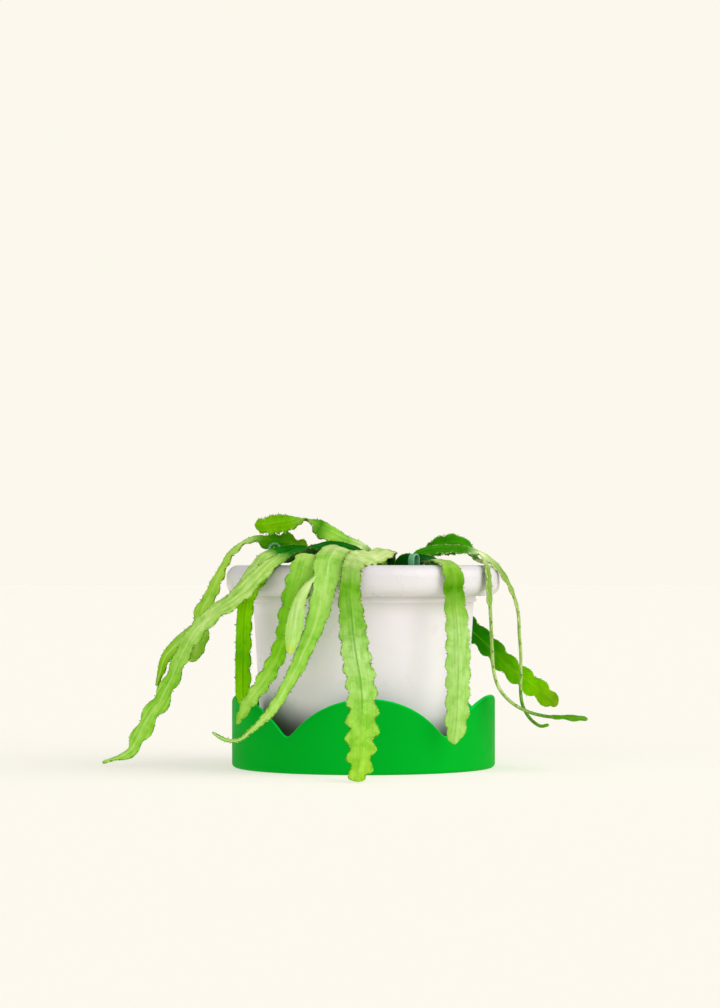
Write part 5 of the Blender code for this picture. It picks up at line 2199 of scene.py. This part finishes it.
@dataclass(frozen=True)
class Pin:
    """A plastic pin: a flat band bent into a loop with two straight legs."""

    node: str
    x: float
    y: float
    top: float
    turn: float
    half_span: float = 3.8
    length: float = 44.0
    band: float = 4.6
    thickness: float = 1.2
    edge: float = 0.35
    edge_steps: int = 3
    bend_steps: int = 24
    leg_rows: int = 10

    def path(self) -> list[tuple[float, float, float]]:
        """Points across and up along the middle of the band, each with its slope in degrees.

        Returns:
            The points with their slopes.
        """
        foot = self.top - self.length
        bend = self.top - self.half_span
        points = []
        for z in np.linspace(foot, bend, self.leg_rows, endpoint=False):
            points.append((self.half_span, float(z), 0.0))
        for angle in np.linspace(0, 180, self.bend_steps + 1):
            turn = math.radians(angle)
            across = self.half_span * math.cos(turn)
            points.append((across, bend + self.half_span * math.sin(turn), float(angle)))
        for z in np.linspace(bend, foot, self.leg_rows + 1)[1:]:
            points.append((-self.half_span, float(z), 180.0))
        return points

    def section(self) -> np.ndarray:
        """The band's section: a bar with rounded edges, through its thickness and along Y.

        Returns:
            The section's points.
        """
        outward, along = self.thickness / 2 - self.edge, self.band / 2 - self.edge
        points = []
        for sx, sy, start in ((1, 1, 0), (-1, 1, 90), (-1, -1, 180), (1, -1, 270)):
            points += arc((sx * outward, sy * along), self.edge, start, start + 90, self.edge_steps)
        return np.array(points)

    def mesh(self) -> bpy.types.Mesh:
        """The band swept along its path and turned into place.

        Returns:
            The closed mesh.
        """
        section = self.section()
        turn = math.radians(self.turn)
        rings = []
        for across, z, slope in self.path():
            angle = math.radians(slope)
            local = across + section[:, 0] * math.cos(angle)
            up = z + section[:, 0] * math.sin(angle)
            x = self.x + local * math.cos(turn) - section[:, 1] * math.sin(turn)
            y = self.y + local * math.sin(turn) + section[:, 1] * math.cos(turn)
            rings.append(np.stack([x, y, up], axis=-1))
        return closed_mesh(self.node, np.array(rings))


@dataclass(frozen=True)
class Pins:
    """The two pins that hold stems down."""

    pins: tuple[Pin, ...] = (
        Pin("plant_pin_right", 35, -57, 151, 58),
        Pin("plant_pin_left", -63, -15, 159, 10),
    )
    finish: PlasticFinish = PlasticFinish(
        "pin_plastic", paint(112, 186, 138), paint(92, 166, 118), paint(185, 215, 190),
        roughness=0.35, specular=0.45,
    )

    def build(self) -> None:
        """Puts both pins in place."""
        material = self.finish.material()
        for pin in self.pins:
            set_piece("fine_" + pin.node, pin.mesh(), material, Slot.PIN, pin.node)


@dataclass(frozen=True)
class Studio:
    """A pale floor and backdrop, soft light from the right, and the camera."""

    pale: Colour = paint(252, 248, 237)
    floor_half_size: float = 20.0
    floor_glow: float = 0.57
    floor_albedo: float = 0.5
    dome_radius: float = 20.5
    dome_segments: int = 48
    dome_rings: int = 24
    key_strength: float = 2.1
    key_from: Triple = (0.85, -0.27, 0.55)
    key_softness: float = 70.0
    fill_strength: float = 0.85
    fill_from: Triple = (-0.6, -0.85, 0.2)
    fill_softness: float = 70.0
    sky: Colour = (0.46, 0.46, 0.475)
    camera_place: Triple = (-0.0025, -2.1795, 0.1436)
    lens: float = 109.14
    shift_up: float = 0.0607

    def glowing(self, name: str, albedo: float, glow: float) -> bpy.types.Material:
        """A matt material in the pale colour.

        Args:
            name: The material's name.
            albedo: Share of the light that it sends back.
            glow: Strength of the light that it gives off.

        Returns:
            The material.
        """
        finish = Finish(name)
        finish.drive("Base Color", opaque(tuple(channel * albedo for channel in self.pale)))
        finish.drive("Emission Color", opaque(self.pale))
        finish.constants(Emission_Strength=glow, Roughness=1.0, Specular_IOR_Level=0.0)
        return finish.material

    def floor(self) -> None:
        """The floor, a wide plane that glows a little so that its shadows stay light."""
        size = self.floor_half_size
        mesh = bpy.data.meshes.new("studio_floor")
        corners = [(-size, -size, 0), (size, -size, 0), (size, size, 0), (-size, size, 0)]
        mesh.from_pydata(corners, [], [(0, 1, 2, 3)])
        mesh.materials.append(self.glowing("studio_floor", self.floor_albedo, self.floor_glow))
        floor = place_object("studio_floor", mesh)

    def dome(self) -> None:
        """The backdrop, a dome in the floor's colour that sends no light to the object."""
        bm = bmesh.new()
        bmesh.ops.create_uvsphere(
            bm, u_segments=self.dome_segments, v_segments=self.dome_rings, radius=self.dome_radius
        )
        mesh = bpy.data.meshes.new("studio_dome")
        bm.to_mesh(mesh)
        bm.free()
        mesh.materials.append(self.glowing("studio_dome", 0.0, 1.0))
        dome = place_object("studio_dome", mesh)
        dome.visible_diffuse = False
        dome.visible_glossy = False
        dome.visible_transmission = False
        dome.visible_shadow = False

    def lights(self) -> None:
        """A broad key light from the right, a low fill light from the left and an even sky."""
        self.light("key", self.key_strength, self.key_softness, self.key_from)
        self.light("fill", self.fill_strength, self.fill_softness, self.fill_from)
        world = bpy.data.worlds.new("studio_sky")
        world.use_nodes = True
        world.node_tree.nodes["Background"].inputs["Color"].default_value = opaque(self.sky)
        bpy.context.scene.world = world

    def light(self, name: str, strength: float, softness: float, source: Triple) -> None:
        """A far, soft light.

        Args:
            name: The light's name.
            strength: Its strength.
            softness: Its width, as an angle in degrees.
            source: The direction that it comes from.
        """
        far = bpy.data.lights.new(name, "SUN")
        far.energy = strength
        far.angle = math.radians(softness)
        lamp = place_object(name, far)
        lamp.rotation_mode = "QUATERNION"
        lamp.rotation_quaternion = Vector(source).to_track_quat("Z", "Y")

    def camera(self) -> None:
        """The camera, level and straight in front, with the picture's long side upright."""
        lens = bpy.data.cameras.new("camera")
        lens.lens = self.lens
        lens.shift_y = self.shift_up
        camera = place_object("camera", lens)
        camera.location = self.camera_place
        camera.rotation_euler = (math.radians(90), 0, 0)
        bpy.context.scene.camera = camera

    def build(self) -> None:
        """Makes the whole studio."""
        self.camera()
        self.floor()
        self.dome()
        self.lights()
        bpy.context.scene.view_settings.view_transform = "Standard"


def main() -> None:
    """Builds the studio and every piece, in order."""
    logging.basicConfig(level=logging.INFO, format="%(message)s")
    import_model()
    Studio().build()
    Saucer().build()
    Pot().build()
    Soil().build()
    Plant(PLANS).build()
    Pins().build()


if __name__ == "__main__":
    main()
